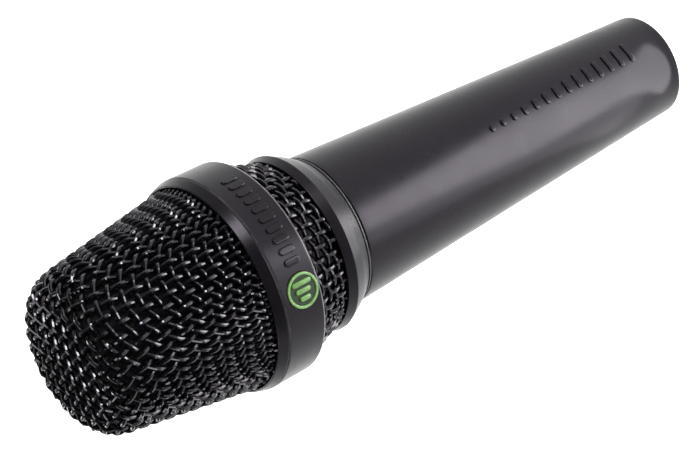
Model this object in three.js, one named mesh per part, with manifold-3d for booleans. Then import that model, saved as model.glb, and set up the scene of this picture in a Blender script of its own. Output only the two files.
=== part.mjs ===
// Handheld moving-coil vocal microphone with an on/off switch and a three-pin socket in its handle end.
// Millimetres. +Z runs along the microphone's axis, handle end down and head up. The origin is the
// centre of the handle's flat end face. The badge on the head faces -Y and the switch faces +Y.
import * as THREE from "three";
import { mergeVertices } from "three/addons/utils/BufferGeometryUtils.js";
import Module from "manifold-3d";

const wasm = await Module();
wasm.setup();

// ---- Driving dimensions ----

const TOTAL_LENGTH = 176;

// Handle: a straight taper from the neck down to the end face.
const HANDLE_LENGTH = 104.4;
const HANDLE_TOP_R = 18.1;
const HANDLE_END_R = 12.7;
const HANDLE_WALL = 2.3;
const END_ROUND = 0.5;
const SPIGOT_SEAT_R = 14.5;
const SPIGOT_SEAT_DEPTH = 12;

// Head: wire basket, clamped by a ring into a broad band, wire strip below it, and the neck collar.
const CORNER_R = 8.75;
const CORNER_CENTRE_R = 10.9;
const CORNER_DROP = 9.6;
const BASKET_SLOPE = THREE.MathUtils.degToRad(8.5);
const MESH_THICKNESS = 1.5;
const RING_TOP_Z = 136.4;
const RING_LIP = 0.4;
const BAND_TOP_Z = 133.8;
const BAND_BOTTOM_Z = 123.7;
const BAND_R = 25.6;
const BAND_WALL = 1.1;
const BAND_BEVEL = 0.35;
const SHELF_THICKNESS = 1.4;
const CASTING_DRAFT = 0.15;
const STRIP_TOP_R = 24.2;
const STRIP_BOTTOM_Z = 113.55;
const STRIP_BOTTOM_R = 20.75;
const STRIP_SEAT_DEPTH = 0.6;
const RIDGE_Z = 111.15;
const RIDGE_R = 21.47;
const COLLAR_BOTTOM_Z = 105.15;
const COLLAR_BOTTOM_R = 18.25;

// Screwed joint between head and handle.
const THREAD_R = 15.3;
const THREAD_DEPTH = 0.5;
const THREAD_PITCH = 1.5;
const THREAD_TURNS = 3;
const SPIGOT_TOP_Z = 113.2;
const NECK_BORE_R = 15.7;
const ORING_SECTION_R = 0.6;
const ORING_R = 16.4;
const ORING_Z = COLLAR_BOTTOM_Z + 1.9;

// Capsule: a slim rear chamber held by two rubber rings, and the motor and diaphragm above it.
const CHAMBER_R = 9;
const CHAMBER_BOTTOM_Z = 106.4;
const CAPSULE_R = 13.6;
const CAPSULE_BOTTOM_Z = 122;
const CAPSULE_TOP_Z = 139.4;
const CAPSULE_WALL = 1;
const POST_R = 12.1;
const POST_TOP_Z = 119;
const YOKE_R = 10;
const GAP_OUTER_R = 7.6;
const POLE_R = 6.4;
const COIL_INNER_R = 6.75;
const COIL_WALL = 0.45;
const DIAPHRAGM_R = 11.2;
const DIAPHRAGM_SEAT_Z = 133.4;

// Three-pin male socket in the handle end, to the usual size: 16.4 mm bore, 2.4 mm pins.
const SOCKET_R = 8.2;
const SHELL_R = 10.4;
const SHELL_TOP_Z = 15.6;
const SHELL_RECESS = 0.6;
const PIN_R = 1.2;
const PIN_CIRCLE_R = 3.75;
const PIN_TIP_Z = 2.4;
const PIN_TAIL_Z = 19;

// Slide switch. Its flat plate sinks into the round handle until its long edges are flush.
const SWITCH_Z = 74;
const SWITCH_SINK = 0.5;
const PLATE_WIDTH = 8.4;
const PLATE_LENGTH = 24;
const PLATE_THICKNESS = 1;
const SWITCH_TRAVEL = 3;
const KNOB_WIDTH = 3.4;
const KNOB_LENGTH = 4.4;

// Raised marks: a row of plain ribs on the band and a rising row of bars on the handle.
const BAND_RIBS = 10;
const BAND_RIB_FIRST = -21;
const BAND_RIB_LAST = -75;
const BAND_RIB_LENGTH = 4.2;
const BAND_RIB_WIDTH = 1.7;
const BAND_RIB_ROUND = 0.84;
const BAND_RIB_ROOT = 0.3;
const HANDLE_BARS = 14;
const HANDLE_BAR_TOP_Z = 60;
const HANDLE_BAR_BOTTOM_Z = 12.5;
const HANDLE_BAR_BASE = -61;
const HANDLE_BAR_SHORTEST = 1.6;
const HANDLE_BAR_LONGEST = 5.5;
const HANDLE_BAR_WIDTH = 1.4;
const HANDLE_BAR_ROOT = 1.2;
const MARK_HEIGHT = 0.3;
const BADGE_R = 4;
const BADGE_Z = 128.4;
const BADGE_POCKET_DEPTH = 0.65;
const BADGE_BARS = [3, 4.2, 5.4];
const BADGE_BAR_PITCH = 1.8;

const GAP = 0.3; // between pieces that touch in a turned group or move past each other
const FIT = 0.1; // between turned pieces that are pressed or glued together
const LEAD_R = 0.6;

// Sides of round pieces.
const LARGE = 40;
const MEDIUM = 24;
const SMALL = 12;

// ---- Materials ----

const finish = (color, roughness, metalness) =>
  new THREE.MeshStandardMaterial({ color, roughness, metalness });
const BLACK_CASTING = finish(0x232226, 0.5, 0.4);
const BLACK_WIRE = finish(0x121113, 0.25, 0.6);
const GREEN_ENAMEL = finish(0x5fa347, 0.4, 0.1);
const BLACK_FOAM = finish(0x18171a, 0.95, 0);
const BLACK_RUBBER = finish(0x1a1a1a, 0.85, 0);
const BLACK_PLASTIC = finish(0x1d1d1f, 0.6, 0);
const BARE_STEEL = finish(0xb4b6b8, 0.35, 0.9);
const BRASS = finish(0xb08d4a, 0.4, 0.9);
const MAGNET_METAL = finish(0x8f9194, 0.3, 0.9);
const COPPER = finish(0xb06a3c, 0.45, 0.8);
const CLEAR_FILM = finish(0xc9b27a, 0.3, 0);
const GREY_FELT = finish(0x6f6c68, 1, 0);
const GREEN_BOARD = finish(0x1f5a38, 0.5, 0);
const SILVER_CONTACT = finish(0xcfc9b8, 0.3, 0.9);
const LEAD_COLOURS = { red: finish(0xa02a24, 0.5, 0), black: finish(0x202022, 0.5, 0), bare: BARE_STEEL };

// ---- Shape helpers ----

// The closed manifold-3d solid of a geometry, with its faces pointing out.
function solidOf(geometry) {
  const bare = geometry.clone();
  bare.deleteAttribute("normal");
  bare.deleteAttribute("uv");
  const merged = mergeVertices(bare, 1e-4);
  const vertProperties = merged.attributes.position.array;
  const triVerts = new Uint32Array(merged.index.array);
  const made = new wasm.Manifold(new wasm.Mesh({ numProp: 3, vertProperties, triVerts }));
  if (made.volume() > 0) return made;
  triVerts.reverse();
  return new wasm.Manifold(new wasm.Mesh({ numProp: 3, vertProperties, triVerts }));
}

function geometryOf(solid) {
  const mesh = solid.getMesh();
  const geometry = new THREE.BufferGeometry();
  geometry.setAttribute("position", new THREE.BufferAttribute(mesh.vertProperties, 3));
  geometry.setIndex(new THREE.BufferAttribute(mesh.triVerts, 1));
  return geometry;
}

function join(base, ...others) {
  return geometryOf(others.reduce((sum, other) => sum.add(solidOf(other)), solidOf(base)));
}

function cut(base, ...tools) {
  return geometryOf(tools.reduce((rest, tool) => rest.subtract(solidOf(tool)), solidOf(base)));
}

// A piece turned about the axis from an outline of [radius, height] points.
function turned(outline, sides = MEDIUM) {
  const points = outline.map(([radius, height]) => new THREE.Vector2(radius, height));
  const meetsAxis = points[0].x === 0 && points.at(-1).x === 0;
  if (!meetsAxis) points.push(points[0].clone());
  const geometry = new THREE.LatheGeometry(points, sides);
  geometry.rotateX(Math.PI / 2);
  return geometryOf(solidOf(geometry));
}

function tube(innerR, outerR, bottom, top, sides = MEDIUM) {
  return turned([[innerR, bottom], [outerR, bottom], [outerR, top], [innerR, top]], sides);
}

function disc(radius, bottom, top, sides = MEDIUM) {
  return turned([[0, bottom], [radius, bottom], [radius, top], [0, top]], sides);
}

// A box centred on a point.
function box(x, y, z, width, depth, height) {
  return new THREE.BoxGeometry(width, depth, height).translate(x, y, z);
}

// Points on an arc about [centreR, centreZ]. Its two angles are in degrees from the +radius direction.
function arc(centreR, centreZ, radius, from, to, steps) {
  return Array.from({ length: steps + 1 }, (_, step) => {
    const angle = THREE.MathUtils.degToRad(from + ((to - from) * step) / steps);
    return [centreR + radius * Math.cos(angle), centreZ + radius * Math.sin(angle)];
  });
}

// A rounded rectangle, width along X and length along Y, centred on the origin.
function roundedRectangle(width, length, radius) {
  const x = width / 2 - radius;
  const y = length / 2 - radius;
  const shape = new THREE.Shape();
  shape.absarc(x, y, radius, 0, Math.PI / 2);
  shape.absarc(-x, y, radius, Math.PI / 2, Math.PI);
  shape.absarc(-x, -y, radius, Math.PI, 1.5 * Math.PI);
  shape.absarc(x, -y, radius, 1.5 * Math.PI, 2 * Math.PI);
  return shape;
}

function circle(x, y, radius) {
  return new THREE.Path().absarc(x, y, radius, 0, 2 * Math.PI);
}

// A flat shape raised by a height: its front faces -Y and its length runs along Z.
function raisedTowardsMinusY(shape, height, curveSegments = 2) {
  const options = { depth: height, bevelEnabled: false, curveSegments };
  return new THREE.ExtrudeGeometry(shape, options).rotateX(Math.PI / 2);
}

function wire(points, radius) {
  const route = new THREE.CatmullRomCurve3(points.map((point) => new THREE.Vector3(...point)));
  const section = new THREE.Shape().absarc(0, 0, radius, 0, 2 * Math.PI);
  const options = { steps: 10, extrudePath: route, curveSegments: 4, bevelEnabled: false };
  return new THREE.ExtrudeGeometry(section, options);
}

function piece(parent, name, geometry, material) {
  const mesh = new THREE.Mesh(geometry, material);
  mesh.name = name;
  parent.add(mesh);
}

// ---- Shapes that several pieces share ----

const BASKET_TANGENT_R = CORNER_CENTRE_R + CORNER_R * Math.cos(BASKET_SLOPE);
const BASKET_TANGENT_Z = TOTAL_LENGTH - CORNER_DROP + CORNER_R * Math.sin(BASKET_SLOPE);

// The front's large radius, so that it meets the corner radius without a crease.
const DOME_R = (CORNER_CENTRE_R ** 2 + CORNER_DROP ** 2 - CORNER_R ** 2) / (2 * (CORNER_DROP - CORNER_R));

// The basket's surface, moved in by an inset: the shallow dome, the round corner, then the slope down.
function basketSurface(inset, bottom, steps) {
  const meet = THREE.MathUtils.radToDeg(Math.atan2(DOME_R - CORNER_DROP, CORNER_CENTRE_R));
  const slope = THREE.MathUtils.radToDeg(BASKET_SLOPE);
  const dome = arc(0, TOTAL_LENGTH - DOME_R, DOME_R - inset, 90, meet, steps - 2);
  dome[0][0] = 0;
  const corner = arc(CORNER_CENTRE_R, TOTAL_LENGTH - CORNER_DROP, CORNER_R - inset, meet, slope, steps);
  const tangentR = BASKET_TANGENT_R - inset / Math.cos(BASKET_SLOPE);
  const bottomR = tangentR + (BASKET_TANGENT_Z - bottom) * Math.tan(BASKET_SLOPE);
  return [...dome, ...corner.slice(1), [bottomR, bottom]];
}

// Radius of the strip's outer surface, which slopes in towards the neck.
function stripRadius(z) {
  const share = (z - STRIP_BOTTOM_Z) / (BAND_BOTTOM_Z - STRIP_BOTTOM_Z);
  return STRIP_BOTTOM_R + share * (STRIP_TOP_R - STRIP_BOTTOM_R);
}

function handleRadius(z) {
  return HANDLE_END_R + ((HANDLE_TOP_R - HANDLE_END_R) * z) / HANDLE_LENGTH;
}

const HANDLE_TAPER = Math.atan((HANDLE_TOP_R - HANDLE_END_R) / HANDLE_LENGTH);

// ---- Head ----

const RIM_BOTTOM_Z = BAND_TOP_Z - 3.6;

function frontGrille() {
  const outer = basketSurface(0, RING_TOP_Z, 6);
  const inner = basketSurface(MESH_THICKNESS, RING_TOP_Z, 5).reverse();
  const rimOuterR = outer.at(-1)[0];
  const rimInnerR = inner[0][0];
  return turned([...outer, [rimOuterR, RIM_BOTTOM_Z], [rimInnerR, RIM_BOTTOM_Z], ...inner], LARGE);
}

const RIM_OUTER_R = basketSurface(0, RING_TOP_Z, 6).at(-1)[0];

function grilleRim() {
  const outerR = RIM_OUTER_R - MESH_THICKNESS - GAP;
  return tube(outerR - 1, outerR, RIM_BOTTOM_Z, RIM_BOTTOM_Z + 2);
}

function retainingRing() {
  const innerR = RIM_OUTER_R + FIT;
  const bottom = BAND_TOP_Z + FIT;
  const lipR = innerR + RING_LIP;
  return turned([[innerR, bottom], [BAND_R, bottom], [lipR, RING_TOP_Z], [innerR, RING_TOP_Z]], LARGE);
}

// A rib with round ends, standing on a surface of the given radius at an angle about the axis.
function bandRib(angle) {
  const shape = roundedRectangle(BAND_RIB_WIDTH, BAND_RIB_LENGTH, BAND_RIB_ROUND);
  return raisedTowardsMinusY(shape, BAND_RIB_ROOT + MARK_HEIGHT)
    .translate(0, -(BAND_R - BAND_RIB_ROOT), BADGE_Z)
    .rotateZ(THREE.MathUtils.degToRad(angle + 90));
}

function headBand() {
  const innerR = RIM_OUTER_R + FIT;
  const shelfR = RIM_OUTER_R - MESH_THICKNESS - 1;
  const shelfTop = RIM_BOTTOM_Z - FIT;
  const lipR = BAND_R - BAND_WALL;
  const lowerR = BAND_R - CASTING_DRAFT;
  const outline = [
    [lipR, BAND_BOTTOM_Z],
    [lowerR - BAND_BEVEL, BAND_BOTTOM_Z],
    [lowerR, BAND_BOTTOM_Z + BAND_BEVEL],
    [BAND_R, BAND_TOP_Z - BAND_BEVEL],
    [BAND_R - BAND_BEVEL, BAND_TOP_Z],
    [innerR, BAND_TOP_Z],
    [innerR, shelfTop],
    [shelfR, shelfTop],
    [shelfR, shelfTop - SHELF_THICKNESS],
    [lipR, shelfTop - SHELF_THICKNESS],
  ];
  const step = (BAND_RIB_LAST - BAND_RIB_FIRST) / (BAND_RIBS - 1);
  const ribs = Array.from({ length: BAND_RIBS }, (_, rib) => bandRib(BAND_RIB_FIRST + rib * step));
  const pocket = badgeDisc(BADGE_R + GAP, BAND_R - BADGE_POCKET_DEPTH, 4);
  return cut(join(turned(outline, LARGE), ...ribs), pocket);
}

function badgeDisc(radius, backR, thickness) {
  const middleY = -backR - thickness / 2;
  return new THREE.CylinderGeometry(radius, radius, thickness, MEDIUM).translate(0, middleY, BADGE_Z);
}

// A round badge with three upright bars of rising length standing on its face.
function badge() {
  const face = BAND_R + FIT;
  const back = BAND_R - BADGE_POCKET_DEPTH + FIT;
  const bars = BADGE_BARS.map((length, bar) => {
    const shape = roundedRectangle(1, length, 0.4);
    return raisedTowardsMinusY(shape, 2 * MARK_HEIGHT)
      .translate((bar - 1) * BADGE_BAR_PITCH, -(face - MARK_HEIGHT), BADGE_Z);
  });
  return join(badgeDisc(BADGE_R, back, face - back), ...bars);
}

const STRIP_RIM_TOP_Z = RIM_BOTTOM_Z - 1.6 - GAP;

function rearGrille() {
  const bottom = STRIP_BOTTOM_Z - STRIP_SEAT_DEPTH;
  const rimR = stripRadius(BAND_BOTTOM_Z);
  const outer = [[stripRadius(bottom), bottom], [rimR, BAND_BOTTOM_Z], [rimR, STRIP_RIM_TOP_Z]];
  const inner = outer.map(([radius, z]) => [radius - MESH_THICKNESS, z]).reverse();
  return turned([...outer, ...inner], LARGE);
}

function neckCollar() {
  const seatZ = STRIP_BOTTOM_Z - STRIP_SEAT_DEPTH - FIT;
  const seatR = stripRadius(STRIP_BOTTOM_Z) - MESH_THICKNESS - GAP;
  const grooveR = ORING_R + ORING_SECTION_R + GAP;
  const grooveHalf = ORING_SECTION_R + GAP;
  const boreTop = SPIGOT_TOP_Z - 0.8;
  return turned([
    [NECK_BORE_R, COLLAR_BOTTOM_Z],
    [COLLAR_BOTTOM_R - 0.2, COLLAR_BOTTOM_Z],
    [COLLAR_BOTTOM_R, COLLAR_BOTTOM_Z + 0.2],
    [COLLAR_BOTTOM_R + 1.75, COLLAR_BOTTOM_Z + 3],
    [RIDGE_R, RIDGE_Z],
    [STRIP_BOTTOM_R + FIT, STRIP_BOTTOM_Z],
    [STRIP_BOTTOM_R + FIT, seatZ],
    [seatR, seatZ],
    [seatR, STRIP_BOTTOM_Z],
    [seatR - 1, STRIP_BOTTOM_Z],
    [NECK_BORE_R, boreTop],
    [NECK_BORE_R, ORING_Z + grooveHalf],
    [grooveR, ORING_Z + grooveHalf],
    [grooveR, ORING_Z - grooveHalf],
    [NECK_BORE_R, ORING_Z - grooveHalf],
  ], LARGE);
}

const FOAM_THICKNESS = 3;

function frontFoam() {
  const outerInset = MESH_THICKNESS + GAP;
  const bottom = RING_TOP_Z;
  const outer = basketSurface(outerInset, bottom, 4);
  const inner = basketSurface(outerInset + FOAM_THICKNESS, bottom, 3).reverse();
  return turned([...outer, ...inner]);
}

function rearFoam() {
  const bottom = STRIP_BOTTOM_Z + 0.2;
  const top = BAND_BOTTOM_Z + 1.5;
  const inset = MESH_THICKNESS + GAP;
  const topR = stripRadius(BAND_BOTTOM_Z) - inset;
  return turned([
    [stripRadius(bottom) - inset - 2, bottom],
    [stripRadius(bottom) - inset, bottom],
    [topR, BAND_BOTTOM_Z],
    [topR, top],
    [topR - 2, top],
    [topR - 2, BAND_BOTTOM_Z],
  ]);
}

// ---- Neck ----

function neckOring() {
  return turned(arc(ORING_R, ORING_Z, ORING_SECTION_R, 0, 315, 7), LARGE);
}

const TRIM_BOTTOM_Z = HANDLE_LENGTH + 0.18;
const TRIM_TOP_Z = COLLAR_BOTTOM_Z - 0.2;

function neckTrimRing() {
  return tube(THREAD_R + FIT, COLLAR_BOTTOM_R - 0.1, TRIM_BOTTOM_Z, TRIM_TOP_Z, LARGE);
}

// Skirt pressed into the handle, smooth land for the seal, then the thread, drawn as plain ridges.
function threadedSpigot() {
  const innerR = POST_R + FIT;
  const shoulderZ = HANDLE_LENGTH + FIT;
  const ridges = Array.from({ length: THREAD_TURNS }, (_, turn) => {
    const top = SPIGOT_TOP_Z - 0.3 - turn * THREAD_PITCH;
    return [[THREAD_R, top], [THREAD_R, top - 0.4], [THREAD_R - THREAD_DEPTH, top - 0.9]];
  }).flat();
  return turned([
    [innerR, SPIGOT_TOP_Z],
    [THREAD_R - THREAD_DEPTH, SPIGOT_TOP_Z],
    ...ridges,
    [THREAD_R, SPIGOT_TOP_Z - 0.3 - THREAD_TURNS * THREAD_PITCH],
    [THREAD_R, shoulderZ],
    [SPIGOT_SEAT_R - FIT, shoulderZ],
    [SPIGOT_SEAT_R - FIT, HANDLE_LENGTH - SPIGOT_SEAT_DEPTH + 1],
    [innerR, HANDLE_LENGTH - SPIGOT_SEAT_DEPTH + 1],
  ]);
}

// ---- Handle ----

// A raised bar on the handle, its length running round the handle from the line where all bars start.
function handleBar(bar) {
  const share = bar / (HANDLE_BARS - 1);
  const z = HANDLE_BAR_TOP_Z + share * (HANDLE_BAR_BOTTOM_Z - HANDLE_BAR_TOP_Z);
  const length = HANDLE_BAR_SHORTEST + share * (HANDLE_BAR_LONGEST - HANDLE_BAR_SHORTEST);
  const surfaceR = handleRadius(z);
  const middleR = surfaceR + MARK_HEIGHT - HANDLE_BAR_ROOT / 2;
  const turn = THREE.MathUtils.degToRad(HANDLE_BAR_BASE) + length / (2 * surfaceR);
  return box(middleR, 0, z, HANDLE_BAR_ROOT, length, HANDLE_BAR_WIDTH).rotateZ(turn);
}

const SWITCH_FACE_Y = handleRadius(SWITCH_Z) - SWITCH_SINK;

// Moves a geometry from the switch's own frame (Y out of the handle, Z up along it) onto the handle.
function onSwitchFace(geometry) {
  return geometry.rotateX(-HANDLE_TAPER).translate(0, SWITCH_FACE_Y, SWITCH_Z);
}

const SCREW_Z = PLATE_LENGTH / 2 - 2.4;
const PLATE_SCREW_R = 0.9;

function switchPocket() {
  const depth = PLATE_THICKNESS + GAP;
  const width = PLATE_WIDTH + 2 * GAP;
  const length = PLATE_LENGTH + 2 * GAP;
  const recess = raisedTowardsMinusY(roundedRectangle(width, length, 1.6), 5).translate(0, 5 - depth, 0);
  const slot = box(0, -3, 0, 5.6, 8, 14.2);
  const screwHoles = [-SCREW_Z, SCREW_Z].map((z) =>
    new THREE.CylinderGeometry(PLATE_SCREW_R + GAP, PLATE_SCREW_R + GAP, 8, SMALL).translate(0, -3, z));
  return [recess, slot, ...screwHoles].map(onSwitchFace);
}

const CONNECTOR_SCREW_Z = 8;

function handleTube() {
  const seatBottom = HANDLE_LENGTH - SPIGOT_SEAT_DEPTH;
  const lipBottom = SHELL_TOP_Z + 0.4;
  const lipTop = lipBottom + 1.4;
  const boreR = SHELL_R + 0.25;
  const outer = [
    ...arc(HANDLE_END_R - END_ROUND, END_ROUND, END_ROUND, -90, 0, 3),
    [HANDLE_TOP_R - 0.15, HANDLE_LENGTH - 0.15],
    [HANDLE_TOP_R - 0.3, HANDLE_LENGTH],
  ];
  const inner = [
    [SPIGOT_SEAT_R, HANDLE_LENGTH],
    [SPIGOT_SEAT_R, seatBottom],
    [handleRadius(seatBottom) - HANDLE_WALL - 0.9, seatBottom],
    [handleRadius(lipTop) - HANDLE_WALL, lipTop + 2],
    [boreR - 1.2, lipTop],
    [boreR - 1.2, lipBottom],
    [boreR, lipBottom],
    [boreR, 0],
  ];
  const bars = Array.from({ length: HANDLE_BARS }, (_, bar) => handleBar(bar));
  const screwHole = new THREE.CylinderGeometry(1.5, 1.5, 6, SMALL).translate(0, 12, CONNECTOR_SCREW_Z);
  return cut(join(turned([...outer, ...inner], LARGE), ...bars), ...switchPocket(), screwHole);
}

// ---- Switch ----

function switchPlate() {
  const shape = roundedRectangle(PLATE_WIDTH, PLATE_LENGTH, 1.4);
  const slot = roundedRectangle(KNOB_WIDTH + 2 * GAP, KNOB_LENGTH + SWITCH_TRAVEL + 2 * GAP, 0.5);
  shape.holes.push(new THREE.Path(slot.getPoints(2)));
  shape.holes.push(circle(0, SCREW_Z, PLATE_SCREW_R + GAP), circle(0, -SCREW_Z, PLATE_SCREW_R + GAP));
  return onSwitchFace(raisedTowardsMinusY(shape, PLATE_THICKNESS, 3));
}

// Side view of the thumb piece: a flat foot under the plate and a ridged knob through its slot.
function switchCap() {
  const footTop = -PLATE_THICKNESS - GAP;
  const footBottom = footTop - 0.9;
  const knobTop = 1.3;
  const half = KNOB_LENGTH / 2;
  const ridgePitch = KNOB_LENGTH / 4;
  const ridges = Array.from({ length: 4 }, (_, ridge) => {
    const start = -half + ridge * ridgePitch;
    const end = start + ridgePitch;
    return [[start + 0.15, knobTop], [end - 0.45, knobTop], [end - 0.15, knobTop - 0.4]];
  }).flat();
  const profile = [
    [-half - 1.1, footBottom],
    [-half - 1.1, footTop],
    [-half, footTop],
    ...ridges,
    [half, footTop],
    [half + 1.1, footTop],
    [half + 1.1, footBottom],
  ];
  const shape = new THREE.Shape(profile.map(([z, y]) => new THREE.Vector2(z, y)));
  const solid = new THREE.ExtrudeGeometry(shape, { depth: KNOB_WIDTH, bevelEnabled: false });
  solid.rotateY(-Math.PI / 2).translate(KNOB_WIDTH / 2, 0, -SWITCH_TRAVEL / 2);
  return onSwitchFace(solid);
}

const SWITCH_BODY_DEPTH = 6;
const SWITCH_BODY_TOP = -PLATE_THICKNESS - 2 * GAP - 0.9;
const BOARD_TOP = SWITCH_BODY_TOP - SWITCH_BODY_DEPTH - GAP;

function switchBody() {
  return onSwitchFace(box(0, SWITCH_BODY_TOP - SWITCH_BODY_DEPTH / 2, 0, 4.8, SWITCH_BODY_DEPTH, 13));
}

function switchBoard() {
  const shape = roundedRectangle(12, 30, 1);
  shape.holes.push(circle(0, 12.5, 1), circle(0, -12.5, 1));
  return onSwitchFace(raisedTowardsMinusY(shape, 1.6, 3).translate(0, BOARD_TOP, 0));
}

// A pan-head screw with a slot across its head, its axis along Y in the switch's frame.
function plateScrew(z) {
  const headR = 1.8;
  const headTop = 0.9;
  const tip = -2.4;
  const screw = turned([
    [0, tip],
    [PLATE_SCREW_R, tip],
    [PLATE_SCREW_R, GAP],
    [headR, GAP],
    [headR - 0.3, headTop],
    [0, headTop],
  ], SMALL);
  const slotted = cut(screw, box(0, 0, 1, 2 * headR, 0.5, headTop));
  return onSwitchFace(slotted.rotateX(-Math.PI / 2).translate(0, 0, z));
}

// ---- Socket in the handle end ----

function connectorShell() {
  const shell = tube(SOCKET_R, SHELL_R, SHELL_RECESS, SHELL_TOP_Z);
  const key = box(0, SOCKET_R - 0.25, 8.6, 1.6, 1.3, 6);
  const latchWindow = box(0, SHELL_R - 1, 3.2, 4.6, 4, 2.4);
  return cut(join(shell, key), latchWindow);
}

const PIN_PLACES = [0, 180, 270].map((angle) => {
  const turn = THREE.MathUtils.degToRad(angle);
  return [PIN_CIRCLE_R * Math.cos(turn), PIN_CIRCLE_R * Math.sin(turn)];
});

function connectorInsulator() {
  const keyway = box(0, SOCKET_R, SHELL_TOP_Z - 2, 2.4, 2.6, 8);
  const holes = PIN_PLACES.map(([x, y]) => disc(PIN_R + GAP, 10, 20, SMALL).translate(x, y, 0));
  return cut(disc(SOCKET_R - FIT, 12, SHELL_TOP_Z - 0.2), keyway, ...holes);
}

// A round pin with a blunt tip, a collar above the insulator and a hollow tail for the lead.
function connectorPin([x, y]) {
  const outline = [
    [0, PIN_TIP_Z],
    [PIN_R - 0.5, PIN_TIP_Z],
    [PIN_R, PIN_TIP_Z + 0.7],
    [PIN_R, PIN_TAIL_Z],
    [PIN_R - 0.4, PIN_TAIL_Z],
    [PIN_R - 0.4, PIN_TAIL_Z - 2],
    [0, PIN_TAIL_Z - 2],
  ];
  return turned(outline, SMALL).translate(x, y, 0);
}

function connectorScrew() {
  const socket = new THREE.CylinderGeometry(0.6, 0.6, 2, 6).translate(0, 1.2, 0);
  const body = new THREE.CylinderGeometry(1.15, 1.15, 2.1, SMALL);
  return cut(body, socket).translate(0, 11.75, CONNECTOR_SCREW_Z);
}

// ---- Capsule and what carries it ----

const LIP_Z = 103;
const RUBBER_INNER_R = CHAMBER_R + GAP;
const RUBBER_OUTER_R = POST_R - 1.2 - FIT;

function capsulePost() {
  const innerR = POST_R - 1.2;
  return turned([
    [7.5, LIP_Z],
    [POST_R, LIP_Z],
    [POST_R, POST_TOP_Z],
    [innerR, POST_TOP_Z],
    [innerR, LIP_Z + 1.2],
    [7.5, LIP_Z + 1.2],
  ]);
}

function shockMountLower() {
  const bottom = LIP_Z + 1.2 + FIT;
  const padTop = CHAMBER_BOTTOM_Z - 1.1;
  return turned([
    [6.5, bottom],
    [RUBBER_OUTER_R, bottom],
    [RUBBER_OUTER_R, padTop + 4],
    [RUBBER_INNER_R, padTop + 4],
    [RUBBER_INNER_R, padTop],
    [6.5, padTop],
  ]);
}

function shockMountUpper() {
  const flangeBottom = POST_TOP_Z + FIT;
  const flangeTop = CAPSULE_BOTTOM_Z - 1.2;
  return turned([
    [RUBBER_INNER_R, POST_TOP_Z - 5],
    [RUBBER_OUTER_R, POST_TOP_Z - 5],
    [RUBBER_OUTER_R, flangeBottom],
    [POST_R + 1.2, flangeBottom],
    [POST_R + 1.2, flangeTop - 0.5],
    [RUBBER_INNER_R, flangeTop],
  ]);
}

// The capsule's case: the slim rear chamber, a shelf, and the wide cup for the motor.
function capsuleHousing() {
  const shelfTop = CAPSULE_BOTTOM_Z + 1.2;
  const top = CAPSULE_TOP_Z - 1.3;
  const vents = Array.from({ length: 6 }, (_, vent) =>
    box(CAPSULE_R, 0, 125.6, 4, 2.4, 2.4).rotateZ((vent * Math.PI) / 3));
  const cup = turned([
    [CHAMBER_R - CAPSULE_WALL, CHAMBER_BOTTOM_Z],
    [CHAMBER_R, CHAMBER_BOTTOM_Z],
    [CHAMBER_R, CAPSULE_BOTTOM_Z],
    [CAPSULE_R, CAPSULE_BOTTOM_Z],
    [CAPSULE_R, top],
    [CAPSULE_R - CAPSULE_WALL, top],
    [CAPSULE_R - CAPSULE_WALL, shelfTop],
    [CHAMBER_R - CAPSULE_WALL, shelfTop],
  ]);
  return cut(cup, ...vents);
}

const YOKE_BOTTOM_Z = CAPSULE_BOTTOM_Z + 1.3;
const YOKE_TOP_Z = 131.6;

function yokeCup() {
  return turned([
    [0, YOKE_BOTTOM_Z],
    [YOKE_R, YOKE_BOTTOM_Z],
    [YOKE_R, YOKE_TOP_Z],
    [GAP_OUTER_R, YOKE_TOP_Z],
    [GAP_OUTER_R, YOKE_BOTTOM_Z + 1.7],
    [0, YOKE_BOTTOM_Z + 1.7],
  ]);
}

const MAGNET_TOP_Z = YOKE_TOP_Z - 2;

function magnet() {
  return disc(POLE_R - 0.3, YOKE_BOTTOM_Z + 1.7 + FIT, MAGNET_TOP_Z - FIT);
}

function polePiece() {
  return disc(POLE_R, MAGNET_TOP_Z, YOKE_TOP_Z);
}

function motorHolder() {
  const outerR = CAPSULE_R - CAPSULE_WALL - FIT;
  return tube(YOKE_R + FIT, outerR, YOKE_TOP_Z - 3.4, YOKE_TOP_Z + 0.8);
}

function voiceCoil() {
  return tube(COIL_INNER_R, COIL_INNER_R + COIL_WALL, YOKE_TOP_Z - 1.6, DIAPHRAGM_SEAT_Z - FIT);
}

// Central dome over the coil and a rolled surround out to the rim, both of one thin film.
function diaphragm() {
  const film = 0.2;
  const coilR = COIL_INNER_R + COIL_WALL;
  const surround = (DIAPHRAGM_R - coilR) / 2;
  const domeRise = 1.9;
  const lower = [
    ...[0, 0.35, 0.7].map((share) => [coilR * share, DIAPHRAGM_SEAT_Z + domeRise * (1 - share ** 2)]),
    ...arc(coilR + surround, DIAPHRAGM_SEAT_Z, surround, 180, 0, 4),
  ];
  const upper = lower.map(([radius, z]) => [radius, z + film]).reverse();
  return turned([...lower, ...upper]);
}

function clampRing() {
  return tube(DIAPHRAGM_R + GAP, CAPSULE_R - CAPSULE_WALL - FIT, YOKE_TOP_Z + 0.9, YOKE_TOP_Z + 2.6);
}

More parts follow.
